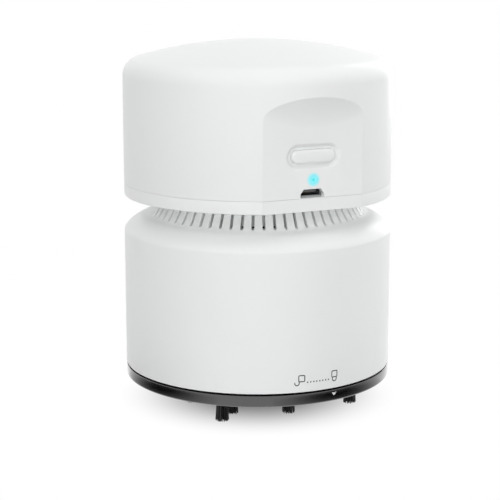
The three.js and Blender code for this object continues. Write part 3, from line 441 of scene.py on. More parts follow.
LAMP_RIM = (0.22, 0.54, 0.60)
LAMP_CHIP = (0.03, 0.30, 0.32)

# Which solids each finish goes on where the solid itself stays
INSIDE_FINISHES = {
    "steel": ("motor_can", "motor_shaft"),
    "zinc": ("switch_body", "motor_screw_1", "motor_screw_2"),
    "brass": ("motor_bush_lower", "motor_bush_upper"),
    "magnet": ("motor_magnet_right", "motor_magnet_left"),
    "copper_winding": ("armature",),
    "black_plastic": (
        "switch_plunger",
        "charge_chip",
        "battery_cradle",
        "motor_end_cap",
        "impeller",
    ),
    "rubber": ("motor_damper",),
    "circuit_board": ("control_board",),
    "capacitor_sleeve": ("capacitor",),
    "cell_wrap": ("battery_cell",),
    "lamp_light": ("led_emitter",),
    "red_wire": ("battery_lead_red", "motor_lead_red"),
    "black_wire": ("battery_lead_black", "motor_lead_black"),
}

# Light and view
FLOOR_SIZE = 4.0
FLOOR_NEAR = 0.008
FLOOR_FAR = 0.045
FLOOR_LIFT = 0.1
WORLD_LIGHT = 0.25
FLAG_AZIMUTHS = (-90.0, 26.2)
FLAG_SWEEP = math.radians(84)
FLAG_INNER = 0.052
FLAG_OUTER = 0.098
FLAG_LIFT = 0.0004
FLAG_CORE = 0.010
FLAG_REACH = 0.062
LIT_MIDDLE = (0, 0, 0.055)
# Name, azimuth and elevation in degrees, distance, width, height, power, seen in gloss
LAMPS = (
    ("front_left", -60, 36, 1.0, 0.7, 0.4, 2.0, False),
    ("front_right", 5, 36, 1.0, 0.7, 0.4, 1.6, False),
    ("front_low", -26, 7, 1.0, 1.2, 0.22, 3.8, False),
    ("overhead", 95, 74, 0.9, 0.8, 0.6, 2.8, False),
    ("right", 98, 8, 1.0, 0.5, 0.5, 5.0, False),
    ("right_edge", 125, 16, 0.7, 0.12, 0.7, 0.8, True),
    ("back", 180, 16, 1.0, 0.8, 0.5, 2.6, False),
    ("back_left", -140, 12, 1.0, 0.8, 0.5, 1.4, False),
)

CAMERA_TURN = math.radians(24.8)
CAMERA_DISTANCE = 0.4610
CAMERA_HEIGHT = 0.1420
CAMERA_TILT = 0.2054
CAMERA_SIDE = 0.0023
CAMERA_LENS = 109.26
CAMERA_SENSOR = 36


# Modelling

def deselect():
    """Leaves nothing selected, in object mode."""
    if bpy.context.object and bpy.context.object.mode != "OBJECT":
        bpy.ops.object.mode_set(mode="OBJECT")
    bpy.ops.object.select_all(action="DESELECT")


def pick(piece):
    """Makes one piece the only selected and the active one."""
    deselect()
    piece.select_set(True)
    bpy.context.view_layer.objects.active = piece
    return piece


def named(name):
    """Gives the newly added primitive its name and its place in its mesh."""
    piece = bpy.context.object
    piece.name = name
    bpy.ops.object.transform_apply(location=True, rotation=True, scale=True)
    return piece


def edit(piece):
    """Opens a piece in edit mode with all of it selected."""
    pick(piece)
    bpy.ops.object.mode_set(mode="EDIT")
    bpy.ops.mesh.select_all(action="SELECT")
    return piece


def closed(piece):
    """Merges the doubles, points the faces outwards and leaves edit mode."""
    bpy.ops.mesh.select_all(action="SELECT")
    bpy.ops.mesh.remove_doubles(threshold=WELD)
    bpy.ops.mesh.normals_make_consistent(inside=False)
    bpy.ops.object.mode_set(mode="OBJECT")
    return piece


def extrude(across, along, up):
    """Draws what is selected out by a step."""
    step = {"value": (across, along, up)}
    bpy.ops.mesh.extrude_region_move(TRANSFORM_OT_translate=step)


def welded(piece):
    """Merges the doubled points that cutting can leave in a flat face."""
    edit(piece)
    bpy.ops.mesh.remove_doubles(threshold=WELD)
    bpy.ops.object.mode_set(mode="OBJECT")
    return piece


def smooth(piece, angle=SMOOTH_ANGLE):
    pick(piece)
    bpy.ops.object.shade_smooth_by_angle(angle=angle)
    return piece


def finish_with(piece, kind, **settings):
    """Adds a modifier, sets it and applies it."""
    pick(piece)
    modifier = piece.modifiers.new(kind.title(), kind)
    for setting, value in settings.items():
        setattr(modifier, setting, value)
    bpy.ops.object.modifier_apply(modifier=modifier.name)
    return piece


def combine(piece, operation, other, solver="EXACT"):
    """Cuts, joins or keeps what a piece shares with another closed shape, which is used up."""
    finish_with(piece, "BOOLEAN", operation=operation, solver=solver, object=other)
    bpy.data.objects.remove(other)
    return piece


def cut(piece, *cutters):
    for cutter in cutters:
        combine(piece, "DIFFERENCE", cutter)
    return piece


def add(piece, *others):
    for other in others:
        combine(piece, "UNION", other)
    return piece


def bevelled(piece, width, segments=2, angle=EDGE_ANGLE):
    """Rounds the edges that are sharper than an angle."""
    settings = {"width": width, "segments": segments, "limit_method": "ANGLE"}
    return finish_with(piece, "BEVEL", angle_limit=angle, **settings)


def merged(name, *pieces):
    """Several loose shapes as one mesh."""
    deselect()
    for piece in pieces:
        piece.select_set(True)
    bpy.context.view_layer.objects.active = pieces[0]
    bpy.ops.object.join()
    pieces[0].name = name
    return pieces[0]


def copied(piece, name):
    """A copy with its own mesh."""
    made = piece.copy()
    made.data = piece.data.copy()
    made.name = name
    bpy.context.collection.objects.link(made)
    return made


def placed(piece, rotation, place=(0, 0, 0)):
    """Turns a piece and moves it, in its mesh."""
    pick(piece)
    piece.rotation_euler = rotation
    piece.location = place
    bpy.ops.object.transform_apply(location=True, rotation=True, scale=False)
    return piece


def turned_by(piece, angle, place=(0, 0, 0)):
    """Turns a piece about the object's axis and moves it, in its mesh."""
    return placed(piece, (0, 0, angle), place)


def on_circle(radius, angle, height=0):
    return (radius * math.cos(angle), radius * math.sin(angle), height)


def around(piece, count, start=0.0):
    """A shape repeated around the axis, as one mesh."""
    copies = [copied(piece, f"{piece.name}_{i}") for i in range(1, count)]
    ring = [piece, *copies]
    for i, each in enumerate(ring):
        turned_by(each, start + FULL_TURN * i / count)
    return merged(piece.name, *ring)


def arc(centre, radius, start, end, steps):
    """Points (radius, height) along an arc."""
    angles = [start + (end - start) * i / steps for i in range(steps + 1)]
    return [
        (centre[0] + radius * math.cos(angle), centre[1] + radius * math.sin(angle))
        for angle in angles
    ]


def bend(points, steps):
    """Points along a cubic curve, from its four handles."""
    places = [Vector(point) for point in points]
    made = []
    for i in range(steps + 1):
        share = i / steps
        rest = 1 - share
        weights = (rest**3, 3 * rest**2 * share, 3 * rest * share**2, share**3)
        made.append(tuple(sum((w * p for w, p in zip(weights, places)), Vector((0, 0)))))
    return made


def rounded(corners, steps=CORNER_STEPS):
    """An outline whose (across, up, rounding) corners are rounded off."""
    outline = []
    for i, (across, up, rounding) in enumerate(corners):
        here = Vector((across, up))
        if not rounding:
            outline.append((across, up))
            continue
        back = (Vector(corners[i - 1][:2]) - here).normalized()
        ahead = (Vector(corners[(i + 1) % len(corners)][:2]) - here).normalized()
        half = back.angle(ahead) / 2
        centre = here + (back + ahead).normalized() * rounding / math.sin(half)
        first = here + back * rounding / math.tan(half) - centre
        last = here + ahead * rounding / math.tan(half) - centre
        sweep = math.pi - 2 * half
        for k in range(steps + 1):
            share = k / steps
            weight = math.sin((1 - share) * sweep) / math.sin(sweep)
            other = math.sin(share * sweep) / math.sin(sweep)
            outline.append(tuple(centre + first * weight + last * other))
    return outline


def box(left, right, low, high):
    """The corners of an oblong."""
    return [(left, low), (right, low), (right, high), (left, high)]


def soft_box(left, right, low, high, rounding):
    return rounded([(*corner, rounding) for corner in box(left, right, low, high)])


def drawn(name, outline):
    """A line through (across, up) points, drawn from one vertex in the plane of the axis."""
    deselect()
    bpy.ops.mesh.primitive_plane_add(size=GAP)
    piece = edit(named(name))
    bpy.ops.mesh.merge(type="CENTER")
    bpy.ops.transform.translate(value=(outline[0][0], 0, outline[0][1]))
    for (from_across, from_up), (across, up) in zip(outline, outline[1:]):
        extrude(across - from_across, 0, up - from_up)
    return piece


def loop(name, outline):
    """A closed outline, left open in edit mode with all of it selected."""
    piece = drawn(name, [*outline, outline[0]])
    bpy.ops.mesh.select_all(action="SELECT")
    bpy.ops.mesh.remove_doubles(threshold=WELD)
    return piece


def turned(name, outline, steps=SHELL_STEPS, sweep=FULL_TURN):
    """An outline of (radius, height) points turned about the axis into a closed body."""
    on_axis = outline[0][0] == 0 and outline[-1][0] == 0
    piece = drawn(name, outline) if on_axis else loop(name, outline)
    if sweep < FULL_TURN:
        bpy.ops.mesh.edge_face_add()
    bpy.ops.mesh.select_all(action="SELECT")
    bpy.ops.mesh.spin(steps=steps, angle=sweep, center=(0, 0, 0), axis=(0, 0, 1))
    return closed(piece)


def sector(name, inner, outer, bottom, top, middle, sweep, steps=LUG_STEPS):
    """A block bent round the axis."""
    piece = turned(name, box(inner, outer, bottom, top), steps, sweep)
    swept = 1 if sum(vertex.co.y for vertex in piece.data.vertices) > 0 else -1
    return turned_by(piece, middle - swept * sweep / 2)


def rod(name, radius, bottom, top, place=(0, 0), steps=PIN_STEPS):
    """A plain round cutter or pin along +Z."""
    deselect()
    bpy.ops.mesh.primitive_cylinder_add(
        vertices=steps, radius=radius, depth=top - bottom, location=(*place, (top + bottom) / 2)
    )
    return named(name)


def slab(name, outline, back, front):
    """An (x, z) outline made solid between two distances from the axis, towards -Y."""
    piece = loop(name, outline)
    bpy.ops.mesh.edge_face_add()
    bpy.ops.transform.translate(value=(0, -back, 0))
    extrude(0, back - front, 0)
    return closed(piece)


def pill_face(name, length, width, distance, height, inwards):
    """A pill-shaped face that looks towards the axis or away from it."""
    deselect()
    turn = -QUARTER_TURN if inwards else QUARTER_TURN
    bpy.ops.mesh.primitive_circle_add(
        vertices=PILL_STEPS,
        radius=width / 2,
        fill_type="NGON",
        location=(0, -distance, height),
        rotation=(turn, 0, 0),
    )
    piece = edit(named(name))
    for side in (-1, 1):
        bpy.ops.mesh.select_all(action="DESELECT")
        mesh = bmesh.from_edit_mesh(piece.data)
        for vertex in mesh.verts:
            vertex.select = vertex.co.x * side > WELD
        mesh.select_flush_mode()
        bmesh.update_edit_mesh(piece.data)
        bpy.ops.transform.translate(value=(side * (length - width) / 2, 0, 0))
    pick_face(piece)
    return piece


def pick_face(piece):
    """Selects the one face with the most corners."""
    bpy.ops.mesh.select_all(action="DESELECT")
    mesh = bmesh.from_edit_mesh(piece.data)
    widest = max(mesh.faces, key=lambda face: len(face.verts))
    widest.select = True
    mesh.faces.active = widest
    bmesh.update_edit_mesh(piece.data)


def push(distance):
    """Extrudes the selected face along -Y, or back along +Y."""
    extrude(0, -distance, 0)


def upright(name, plan, bottom, top):
    """An (x, y) outline made solid between two heights."""
    return placed(slab(name, plan, bottom, top), (-QUARTER_TURN, 0, 0))


# Shader nodes

class Reading:
    """A node's output; sums and products of readings and numbers add Math nodes."""

    def __init__(self, finish, socket):
        self.finish = finish
        self.socket = socket

    def __add__(self, other):
        return self.finish.maths("ADD", self, other)

    def __mul__(self, other):
        return self.finish.maths("MULTIPLY", self, other)

    __radd__ = __add__
    __rmul__ = __mul__

    def about(self, middle, swing):
        """The reading, scaled so that it moves up and down about a value."""
        return self * swing + (middle - swing / 2)


class Finish:
    """A material, with one method that makes its nodes."""

    def __init__(self, name, kind=None):
        self.material = bpy.data.materials.new(name)
        self.material.use_nodes = True
        self.tree = self.material.node_tree
        self.shader = self.tree.nodes["Principled BSDF"]
        self.shades = SHADES.get(kind or name)
        self.wear(**SETTINGS.get(kind or name, {}))

    @classmethod
    def of_world(cls, world):
        finish = cls.__new__(cls)
        finish.tree = world.node_tree
        return finish

    def body(self):
        """The material's own surface, to mix with another."""
        return Reading(self, self.shader.outputs[0])

    def show(self, surface):
        """Puts a mixed surface in place of the shader alone."""
        self.feed(self.tree.nodes["Material Output"].inputs["Surface"], surface)

    def feed(self, socket, value):
        """Links a reading to a socket, or sets the socket's number or colour."""
        if isinstance(value, Reading):
            self.tree.links.new(value.socket, socket)
        elif socket.type == "RGBA":
            socket.default_value = (*value, 1)
        else:
            socket.default_value = value

    def node(self, kind, settings, sockets, output=0):
        made = self.tree.nodes.new(kind)
        for setting, value in settings.items():
            setattr(made, setting, value)
        for socket, value in sockets.items():
            self.feed(made.inputs[socket], value)
        return Reading(self, made.outputs[output])

    def maths(self, operation, first, second):
        return self.node("ShaderNodeMath", {"operation": operation}, {0: first, 1: second})

    def wear(self, **sockets):
        """Sets or links the shader's own sockets."""
        for socket, value in sockets.items():
            self.feed(self.shader.inputs[socket.replace("_", " ")], value)
        return self

    def place(self, scale=(1, 1, 1)):
        where = self.node("ShaderNodeTexCoord", {}, {}, output="Object")
        return self.node("ShaderNodeMapping", {}, {"Vector": where, "Scale": scale})

    def pattern(self, kind, scale, settings, stretch=(1, 1, 1), **sockets):
        sockets |= {"Vector": self.place(stretch), "Scale": scale}
        return self.node(kind, settings, sockets)

    def noise(self, scale, detail=2, stretch=(1, 1, 1)):
        return self.pattern("ShaderNodeTexNoise", scale, {}, stretch, Detail=detail)

    def fade(self, reading, start, end, first=0, last=1):
        """Goes smoothly from one value to another as a reading goes from start to end."""
        sockets = {"Value": reading, 1: start, 2: end, 3: first, 4: last}
        return self.node("ShaderNodeMapRange", {"interpolation_type": "SMOOTHSTEP"}, sockets)

    def distance(self, point):
        settings = {"operation": "DISTANCE"}
        sockets = {0: self.place(), 1: point}
        return self.node("ShaderNodeVectorMath", settings, sockets, output="Value")

    def between(self, share, first, second):
        """A colour that goes from one to another with a reading."""
        sockets = {0: share, 6: first, 7: second}
        return self.node("ShaderNodeMix", {"data_type": "RGBA"}, sockets, output=2)

    def shade(self, share):
        """A colour between the finish's own two shades."""
        return self.between(share, *self.shades)

    def relief(self, height, distance, strength, normal=None):
        sockets = {"Height": height, "Distance": distance, "Strength": strength}
        if normal:
            sockets["Normal"] = normal
        return self.node("ShaderNodeBump", {}, sockets)

    def soft_edges(self, radius):
        """Normals rounded over a small radius at the edges."""
        return self.node("ShaderNodeBevel", {"samples": BEVEL_SAMPLES}, {"Radius": radius})


def moulded(name, roughness, strength, edge, kind=None):
    """Moulded plastic: a faint cloud in the colour, a fine grain and softened edges."""
    finish = Finish(name, kind)
    cloud = finish.noise(scale=60, detail=3)
    grain = finish.noise(scale=5200, detail=1)
    finish.colour = finish.shade(cloud)
    return finish.wear(
        Base_Color=finish.colour,
        Roughness=cloud.about(roughness, MOULD_SWING),
        Normal=finish.relief(grain, MOULD_RELIEF, strength, finish.soft_edges(edge)),
    )


def metal(name, roughness, stretch):
    """Bare metal with a grain that is drawn out along the way it was worked."""
    finish = Finish(name)
    grain = finish.noise(scale=1800, detail=3, stretch=stretch)
    cloud = finish.noise(scale=120)
    smoothest = roughness - (METAL_SWING + METAL_CLOUD_SWING) / 2
    return finish.wear(
        Metallic=1,
        Base_Color=finish.shade(cloud),
        Roughness=grain * METAL_SWING + cloud * METAL_CLOUD_SWING + smoothest,
        Normal=finish.relief(grain, METAL_RELIEF, strength=0.2),
    )


def coated(name, roughness, scale, strength):
    """A plain coat such as paint, rubber or sleeve, with its own grain."""
    finish = Finish(name)
    grain = finish.noise(scale, detail=4)
    return finish.wear(
        Base_Color=finish.shade(grain),
        Roughness=grain.about(roughness, COAT_SWING),
        Normal=finish.relief(grain, COAT_RELIEF, strength),
    )


def make_white_with_painted_glow():
    """The shell's white plastic with a painted glow round the lens: a cyan tint painted into its
    colour and a faint emission, standing in for the lamp's light in the plastic.
    """
    finish = moulded("white_plastic_painted_glow", *MOULDED["white_plastic"], kind="white_plastic")
    # Painted glow: tint and emission painted into the shell, strongest at the lens and gone by the
    # reach
    spread = finish.fade(finish.distance(LAMP_PLACE), LAMP_RADIUS, PAINTED_GLOW_REACH, first=1, last=0)
    return finish.wear(
        Base_Color=finish.between(spread, finish.colour, PAINTED_GLOW_TINT),
        Emission_Color=finish.between(spread, BLACK, PAINTED_GLOW_LIGHT),
        Emission_Strength=1,
    )


def make_lamp_light():
    """A lit lens: bright cyan, paler towards the rim, with the small dark chip in the middle."""
    finish = Finish("lamp_light")
    away = finish.distance(LAMP_PLACE)
    chip = finish.fade(away, CHIP_RADIUS, CHIP_SOFT, first=1, last=0)
    rim = finish.fade(away, CHIP_SOFT, LAMP_RADIUS)
    lit = finish.between(rim, LAMP_MIDDLE, LAMP_RIM)
    return finish.wear(
        Base_Color=finish.shade(rim),
        Emission_Color=finish.between(chip, lit, LAMP_CHIP),
    )


def make_bristle_finish():
    """Nylon strands, dark and a little glossy, paler here and there along their length."""
    finish = Finish("bristle_nylon")
    strand = finish.noise(scale=2600, detail=1, stretch=STRAND_STRETCH)
    return finish.wear(
        Base_Color=finish.shade(strand),
        Roughness=strand.about(middle=0.38, swing=0.2),
        Normal=finish.relief(strand, STRAND_RELIEF, strength=0.4),
    )


def make_felt():
    """Felt: matted fibres at two scales."""
    finish = Finish("filter_felt")
    fibres = finish.noise(scale=2400, detail=6)
    mat = finish.noise(scale=420, detail=3)
    mixed = fibres * FIBRE_SHARE + mat * (1 - FIBRE_SHARE)
    return finish.wear(
        Base_Color=finish.shade(mixed),
        Roughness=mat.about(middle=0.9, swing=0.1),
        Normal=finish.relief(mixed, FELT_RELIEF, strength=0.7),
    )


def make_board():
    """Circuit board: solder mask with paler tracks and a slight gloss."""
    finish = Finish("circuit_board")
    cells = finish.pattern("ShaderNodeTexVoronoi", scale=520, settings={})
    tracks = finish.fade(cells, *TRACK_EDGE)
    cloud = finish.noise(scale=300)
    return finish.wear(
        Base_Color=finish.between(tracks, finish.shade(cloud), TRACK_GREEN),
        Roughness=cloud.about(middle=0.33, swing=0.1),
        Normal=finish.relief(tracks, TRACK_RELIEF, strength=0.5),
    )


def make_winding():
    """Enamelled copper wire laid turn beside turn."""
    finish = Finish("copper_winding")
    bands = {"wave_type": "BANDS", "bands_direction": "Z"}
    wave = "ShaderNodeTexWave"
    turns = finish.pattern(wave, scale=900, settings=bands, Distortion=0.6, Detail=1)
    cloud = finish.noise(scale=260)
    return finish.wear(
        Base_Color=finish.shade(cloud),
        Roughness=cloud.about(middle=0.33, swing=0.1),
        Normal=finish.relief(turns, TURN_RELIEF, strength=0.8),
    )


finishes = {
    name: make(name, *numbers)
    for make, table in ((moulded, MOULDED), (metal, METALS), (coated, COATS))
    for name, numbers in table.items()
}
finishes["white_plastic_painted_glow"] = make_white_with_painted_glow()
finishes["lamp_light"] = make_lamp_light()
finishes["bristle_nylon"] = make_bristle_finish()
finishes["filter_felt"] = make_felt()
finishes["circuit_board"] = make_board()
finishes["copper_winding"] = make_winding()


# Drum with its shoulder, slotted neck and web

def make_drum():
    shoulder = bend(SHOULDER_CURVE, SHOULDER_STEPS) + bend(NECK_SWEEP, SWEEP_STEPS)[1:]
    neck_inner = NECK_TOP[0] - NECK_WALL
    corners = [
        (DRUM_BORE, DRUM_FOOT, DRUM_EDGE),
        (DRUM_RADIUS, DRUM_FOOT, DRUM_EDGE),
        *[(radius, height, 0) for radius, height in shoulder],
        (*NECK_TOP, NECK_EDGE),
        (neck_inner, NECK_TOP[1], NECK_EDGE),
        (*NECK_INNER_FOOT, 0),
        (DRUM_BORE, SHOULDER_INNER_FOOT, 0),
        (DRUM_BORE, WEB_TOP, 0),
        (EYE_RADIUS, WEB_TOP, 0),
        (EYE_RADIUS, WEB_FOOT, 0),
        (DRUM_BORE, WEB_FOOT, 0),
    ]
    drum = turned("drum", rounded(corners))
    half = SLOT_WIDTH / 2
    slot_outline = [
        (half, SLOT_TOP),
        (-half, SLOT_TOP),
        *arc((0, SLOT_FOOT + half), half, math.pi, FULL_TURN, SLOT_STEPS),
    ]
    slots = around(slab("slot", slot_outline, SLOT_INNER, SLOT_OUTER), SLOT_COUNT, SLOT_START)
    way = rod("post_way", SCREW_WAY, WEB_FOOT - OVERRUN, WEB_TOP + OVERRUN, (0, POST_CIRCLE))
    cut(drum, slots, around(way, POST_COUNT))
    inner, bottom, top = DRUM_LUG
    root = DRUM_BORE + LUG_ROOT
    lug = sector("drum_lug", inner, root, bottom, top, 0, LUG_ANGLE)
    stop = sector("lug_stop", inner, root, bottom, STOP_TOP, STOP_MIDDLE, STOP_ANGLE)
    add(drum, around(add(lug, stop), LUG_COUNT))
    return smooth(drum, CREASE_ANGLE)


def screw_ways(count, place, seat, low, high, start=0.0):
    """Cutters for screws on a circle: ways for the shanks and sinks for the heads."""
    way = rod("screw_way", SCREW_WAY, low, high, place)
    sink = rod("screw_sink", SINK_RADIUS, low, seat + SINK_DEPTH, place)
    return around(way, count, start), around(sink, count, start)


# Head: domed shell with the scooped flat, and the base moulding under the seam

def head_outline(inset, foot, edge):
    radius = HEAD_RADIUS - inset
    fillet = HEAD_FILLET - inset
    top = HEAD_TOP - inset
    reach = radius - fillet
    rise = top - HEAD_WALL_TOP
    crown = (rise**2 + reach**2 - fillet**2) / (2 * (rise - fillet))
    centre = top - crown
    meet = math.atan2(HEAD_WALL_TOP - centre, reach)
    fillet_arc = arc((reach, HEAD_WALL_TOP), fillet, 0, meet, FILLET_STEPS)
    dome_arc = arc((0, centre), crown, meet, QUARTER_TURN, DOME_STEPS)
    rest = [(across, up, 0) for across, up in [*fillet_arc, *dome_arc[1:-1], (0, top)]]
    return rounded([(0, foot, 0), (radius, foot, edge), *rest])


def scoop(inset, foot):
    """Everything in front of the flat and under its arched end, drawn in by an inset."""
    flat = FLAT_DISTANCE - inset
    surface = HEAD_RADIUS - inset
    half = math.sqrt(surface**2 - flat**2)
    spring = SCOOP_SPRING + inset
    columns = SCOOP_ACROSS + 2
    rows = SCOOP_ALONG + 1
    deselect()
    bpy.ops.mesh.primitive_grid_add(x_subdivisions=columns, y_subdivisions=rows, size=2)
    piece = edit(named("scoop"))
    mesh = bmesh.from_edit_mesh(piece.data)
    for vertex in mesh.verts:
        column = round((vertex.co.x + 1) / 2 * columns) - 1
        row = round((vertex.co.y + 1) / 2 * rows)
        turn = math.pi * min(max(column, 0), SCOOP_ACROSS) / SCOOP_ACROSS
        across = -half * math.cos(turn)
        along = math.sin(turn)
        depth = math.sqrt(max(surface**2 - across**2, flat**2)) - flat
        high = spring + SCOOP_RISE * along
        low = spring - SCOOP_SAG * along**2
        share = min(row, SCOOP_ALONG) / SCOOP_ALONG
        reach = flat + depth * share**SCOOP_BOW
        if row > SCOOP_ALONG:
            reach = HEAD_RADIUS + OVERRUN
        if column < 0:
            across -= OVERRUN
        if column > SCOOP_ACROSS:
            across += OVERRUN
        vertex.co = (across, -reach, low + (high - low) * share)
    bmesh.update_edit_mesh(piece.data)
    bpy.ops.mesh.select_all(action="SELECT")
    extrude(0, 0, foot - spring - SCOOP_RISE)
    bpy.ops.transform.resize(value=(1, 1, 0), center_override=(0, 0, foot))
    return closed(piece)


def front_way(name, length, width, height, front, depth):
    """A pill-shaped cutter that runs back into the head from a distance in front."""
    way = pill_face(name, length, width, front, height, inwards=True)
    push(-depth)
    return closed(way)


def button_well():
    """The dished pill round the button, its side an S curve."""
    front = FLAT_DISTANCE + OVERRUN
    well = pill_face("well", WELL_LENGTH, WELL_WIDTH, front, BUTTON_HEIGHT, inwards=True)
    push(-OVERRUN)
    for i in range(WELL_STEPS):
        fall = math.cos(math.pi * i / WELL_STEPS) - math.cos(math.pi * (i + 1) / WELL_STEPS)
        bpy.ops.mesh.inset(thickness=WELL_SLOPE / WELL_STEPS, depth=WELL_DEPTH * fall / 2)
    return closed(well)


def socket_outline(grow, lift, play=0):
    width = SOCKET_WIDTH + 2 * (grow + play)
    height = SOCKET_HEIGHT + 2 * grow
    foot = SOCKET_FOOT + lift - grow
    return [(x * width - SOCKET_OFFSET, z * height + foot) for x, z in SOCKET_SHARES]


def make_head_shell():
    shell = turned("head_shell", head_outline(0, SHELL_FOOT, SHELL_EDGE))
    cut(shell, scoop(0, SHELL_FOOT - OVERRUN))
    cavity = turned("cavity", head_outline(HEAD_WALL, SHELL_FOOT - OVERRUN, 0), RING_STEPS)
    cut(cavity, scoop(HEAD_WALL, SHELL_FOOT - 2 * OVERRUN))
    cut(shell, cavity)
    under_dome = turned("under_dome", head_outline(HEAD_WALL / 2, BOSS_FOOT, 0), RING_STEPS)
    place = (HEAD_SCREW_CIRCLE, 0)
    bosses = around(rod("boss", BOSS_RADIUS, BOSS_FOOT, HEAD_TOP, place), HEAD_SCREW_COUNT)
    add(shell, combine(bosses, "INTERSECT", under_dome))
    hole = rod("hole", SCREW_WAY, BOSS_FOOT - OVERRUN, BOSS_FOOT + HEAD_SCREW_LENGTH, place)
    through = HEAD_WALL + 2 * OVERRUN
    front = FLAT_DISTANCE + OVERRUN
    back = FLAT_DISTANCE - HEAD_WALL - OVERRUN
    way_length = BUTTON_LENGTH + 2 * SLIDE_GAP
    way_width = BUTTON_WIDTH + 2 * SLIDE_GAP
    lamp_size = 2 * (LAMP_RADIUS + SEAT_GAP)
    cut(
        shell,
        around(hole, HEAD_SCREW_COUNT),
        button_well(),
        front_way("button_way", way_length, way_width, BUTTON_HEIGHT, FLAT_DISTANCE, through),
        front_way("lamp_way", lamp_size, lamp_size, LAMP_HEIGHT, front, through),
        slab("socket_way", socket_outline(0, 0, SOCKET_PLAY), back, front),
    )
    return smooth(welded(shell), HEAD_CREASE)


def flat_front(name, distance, bottom, top):
    """Everything in front of an upright plane, as a cutter."""
    reach = HEAD_RADIUS + OVERRUN
    return slab(name, box(-reach, reach, bottom, top), distance, reach)


def board_guide(side):
    """A post beside the control board, grooved for the board's edge."""
    plan = [(side * across, -along) for across, along in GUIDE_PLAN]
    return upright("board_guide", plan, HEAD_FOOT + HEAD_EDGE, GUIDE_TOP)


def make_head_base():
    cup = [
        (0, HEAD_FOOT, 0),
        (HEAD_RADIUS, HEAD_FOOT, HEAD_EDGE),
        (HEAD_RADIUS, HEAD_BASE_TOP, SHELL_EDGE),
        (0, HEAD_BASE_TOP, 0),
    ]
    base = turned("head_base_moulding", rounded(cup))
    low = HEAD_FOOT - OVERRUN
    high = LIP_TOP + OVERRUN
    cut(base, flat_front("rim_front", FLAT_DISTANCE, low, high))
    lip = rod("lip", LIP_RADIUS, HEAD_FOOT + HEAD_EDGE, LIP_TOP, steps=RING_STEPS)
    cut(lip, flat_front("lip_front", LIP_FLAT, low, high))
    room = rod("room", LIP_RADIUS - LIP_WALL, FLOOR_TOP, high, steps=RING_STEPS)
    cut(room, flat_front("room_front", LIP_FLAT - LIP_WALL, low, high + OVERRUN))
    cut(add(base, lip), room)
    bucket = [
        (0, BUCKET_FOOT, 0),
        (SKIRT_INNER, BUCKET_FOOT, 0),
        (SKIRT_INNER, SKIRT_LOW, SKIRT_EDGE),
        (SKIRT_FOOT, SKIRT_LOW, SKIRT_EDGE),
        (*SKIRT_TOP, 0),
        (SKIRT_TOP[0], HEAD_FOOT + HEAD_EDGE, 0),
        (0, HEAD_FOOT + HEAD_EDGE, 0),
    ]
    skirt = turned("skirt", rounded(bucket), RING_STEPS)
    post = rod("post", POST_RADIUS, POST_FOOT, BUCKET_FOOT + HEAD_EDGE, (0, POST_CIRCLE))
    add(base, skirt, around(post, POST_COUNT), board_guide(-1), board_guide(1))
    below = BUCKET_FOOT - OVERRUN
    deck_over = DECK_TOP + OVERRUN
    room_top = FLOOR_TOP + OVERRUN
    motor_place = (MOTOR_SCREW_CIRCLE, 0)
    head_place = (HEAD_SCREW_CIRCLE, 0)
    post_top = POST_FOOT + BODY_SCREW_LENGTH
    post_way = rod("post_way", SCREW_WAY, WEB_TOP, post_top, (0, POST_CIRCLE))
    notch = box(-SOCKET_OFFSET - NOTCH_HALF, -SOCKET_OFFSET + NOTCH_HALF, SOCKET_FOOT, high)
    cut(
        base,
        rod("bucket_room", BUCKET_RADIUS - BUCKET_WALL, DECK_TOP, room_top, steps=RING_STEPS),
        rod("shaft_way", SHAFT_WAY, below, deck_over),
        around(post_way, POST_COUNT),
        *screw_ways(MOTOR_SCREW_COUNT, motor_place, BUCKET_FOOT, below, deck_over),
        *screw_ways(HEAD_SCREW_COUNT, head_place, HEAD_FOOT, low, room_top),
        slab("notch", notch, LIP_FLAT - LIP_WALL - OVERRUN, LIP_FLAT + OVERRUN),
    )
    return smooth(base, HEAD_CREASE)


# Controls on the flat

def make_button():
    """A flange behind the wall and a pill with rounded edges and a faint crown in front."""
    length = BUTTON_LENGTH + 2 * BUTTON_FLANGE
    width = BUTTON_WIDTH + 2 * BUTTON_FLANGE
    back = FLAT_DISTANCE - HEAD_WALL - GAP - FLANGE_THICKNESS
    button = pill_face("button_cap", length, width, back, BUTTON_HEIGHT, inwards=False)
    push(FLANGE_THICKNESS)
    bpy.ops.mesh.inset(thickness=BUTTON_FLANGE, depth=0)
    push(FLAT_DISTANCE + BUTTON_RISE - BUTTON_EDGE - back - FLANGE_THICKNESS)
    for i in range(EDGE_STEPS):
        here = QUARTER_TURN * i / EDGE_STEPS
        there = QUARTER_TURN * (i + 1) / EDGE_STEPS
        run = BUTTON_EDGE * (math.cos(here) - math.cos(there))
        rise = BUTTON_EDGE * (math.sin(there) - math.sin(here)) * BUTTON_EDGE_SHARE
        bpy.ops.mesh.inset(thickness=run, depth=rise)
    for run, rise in BUTTON_CROWN:
        bpy.ops.mesh.inset(thickness=run, depth=rise)
    return smooth(closed(button))


def make_lens():
    """A flanged pin with a faint dome, turned along +Z and then laid to look along -Y."""
    seat = FLAT_DISTANCE - HEAD_WALL - GAP
    corners = [
        (0, LENS_BACK, 0),
        (LAMP_RADIUS, LENS_BACK, 0),
        (LAMP_RADIUS, seat - LENS_FLANGE, 0),
        (LAMP_RADIUS + LENS_FLANGE, seat - LENS_FLANGE, 0),
        (LAMP_RADIUS + LENS_FLANGE, seat, 0),
        (LAMP_RADIUS, seat, 0),
        (LAMP_RADIUS, FLAT_DISTANCE - LENS_DOME, LENS_EDGE),
        (0, FLAT_DISTANCE, 0),
    ]
    lens = turned("lamp_lens", rounded(corners), PIN_STEPS)
    return smooth(placed(lens, (QUARTER_TURN, 0, 0), (0, 0, LAMP_HEIGHT)))


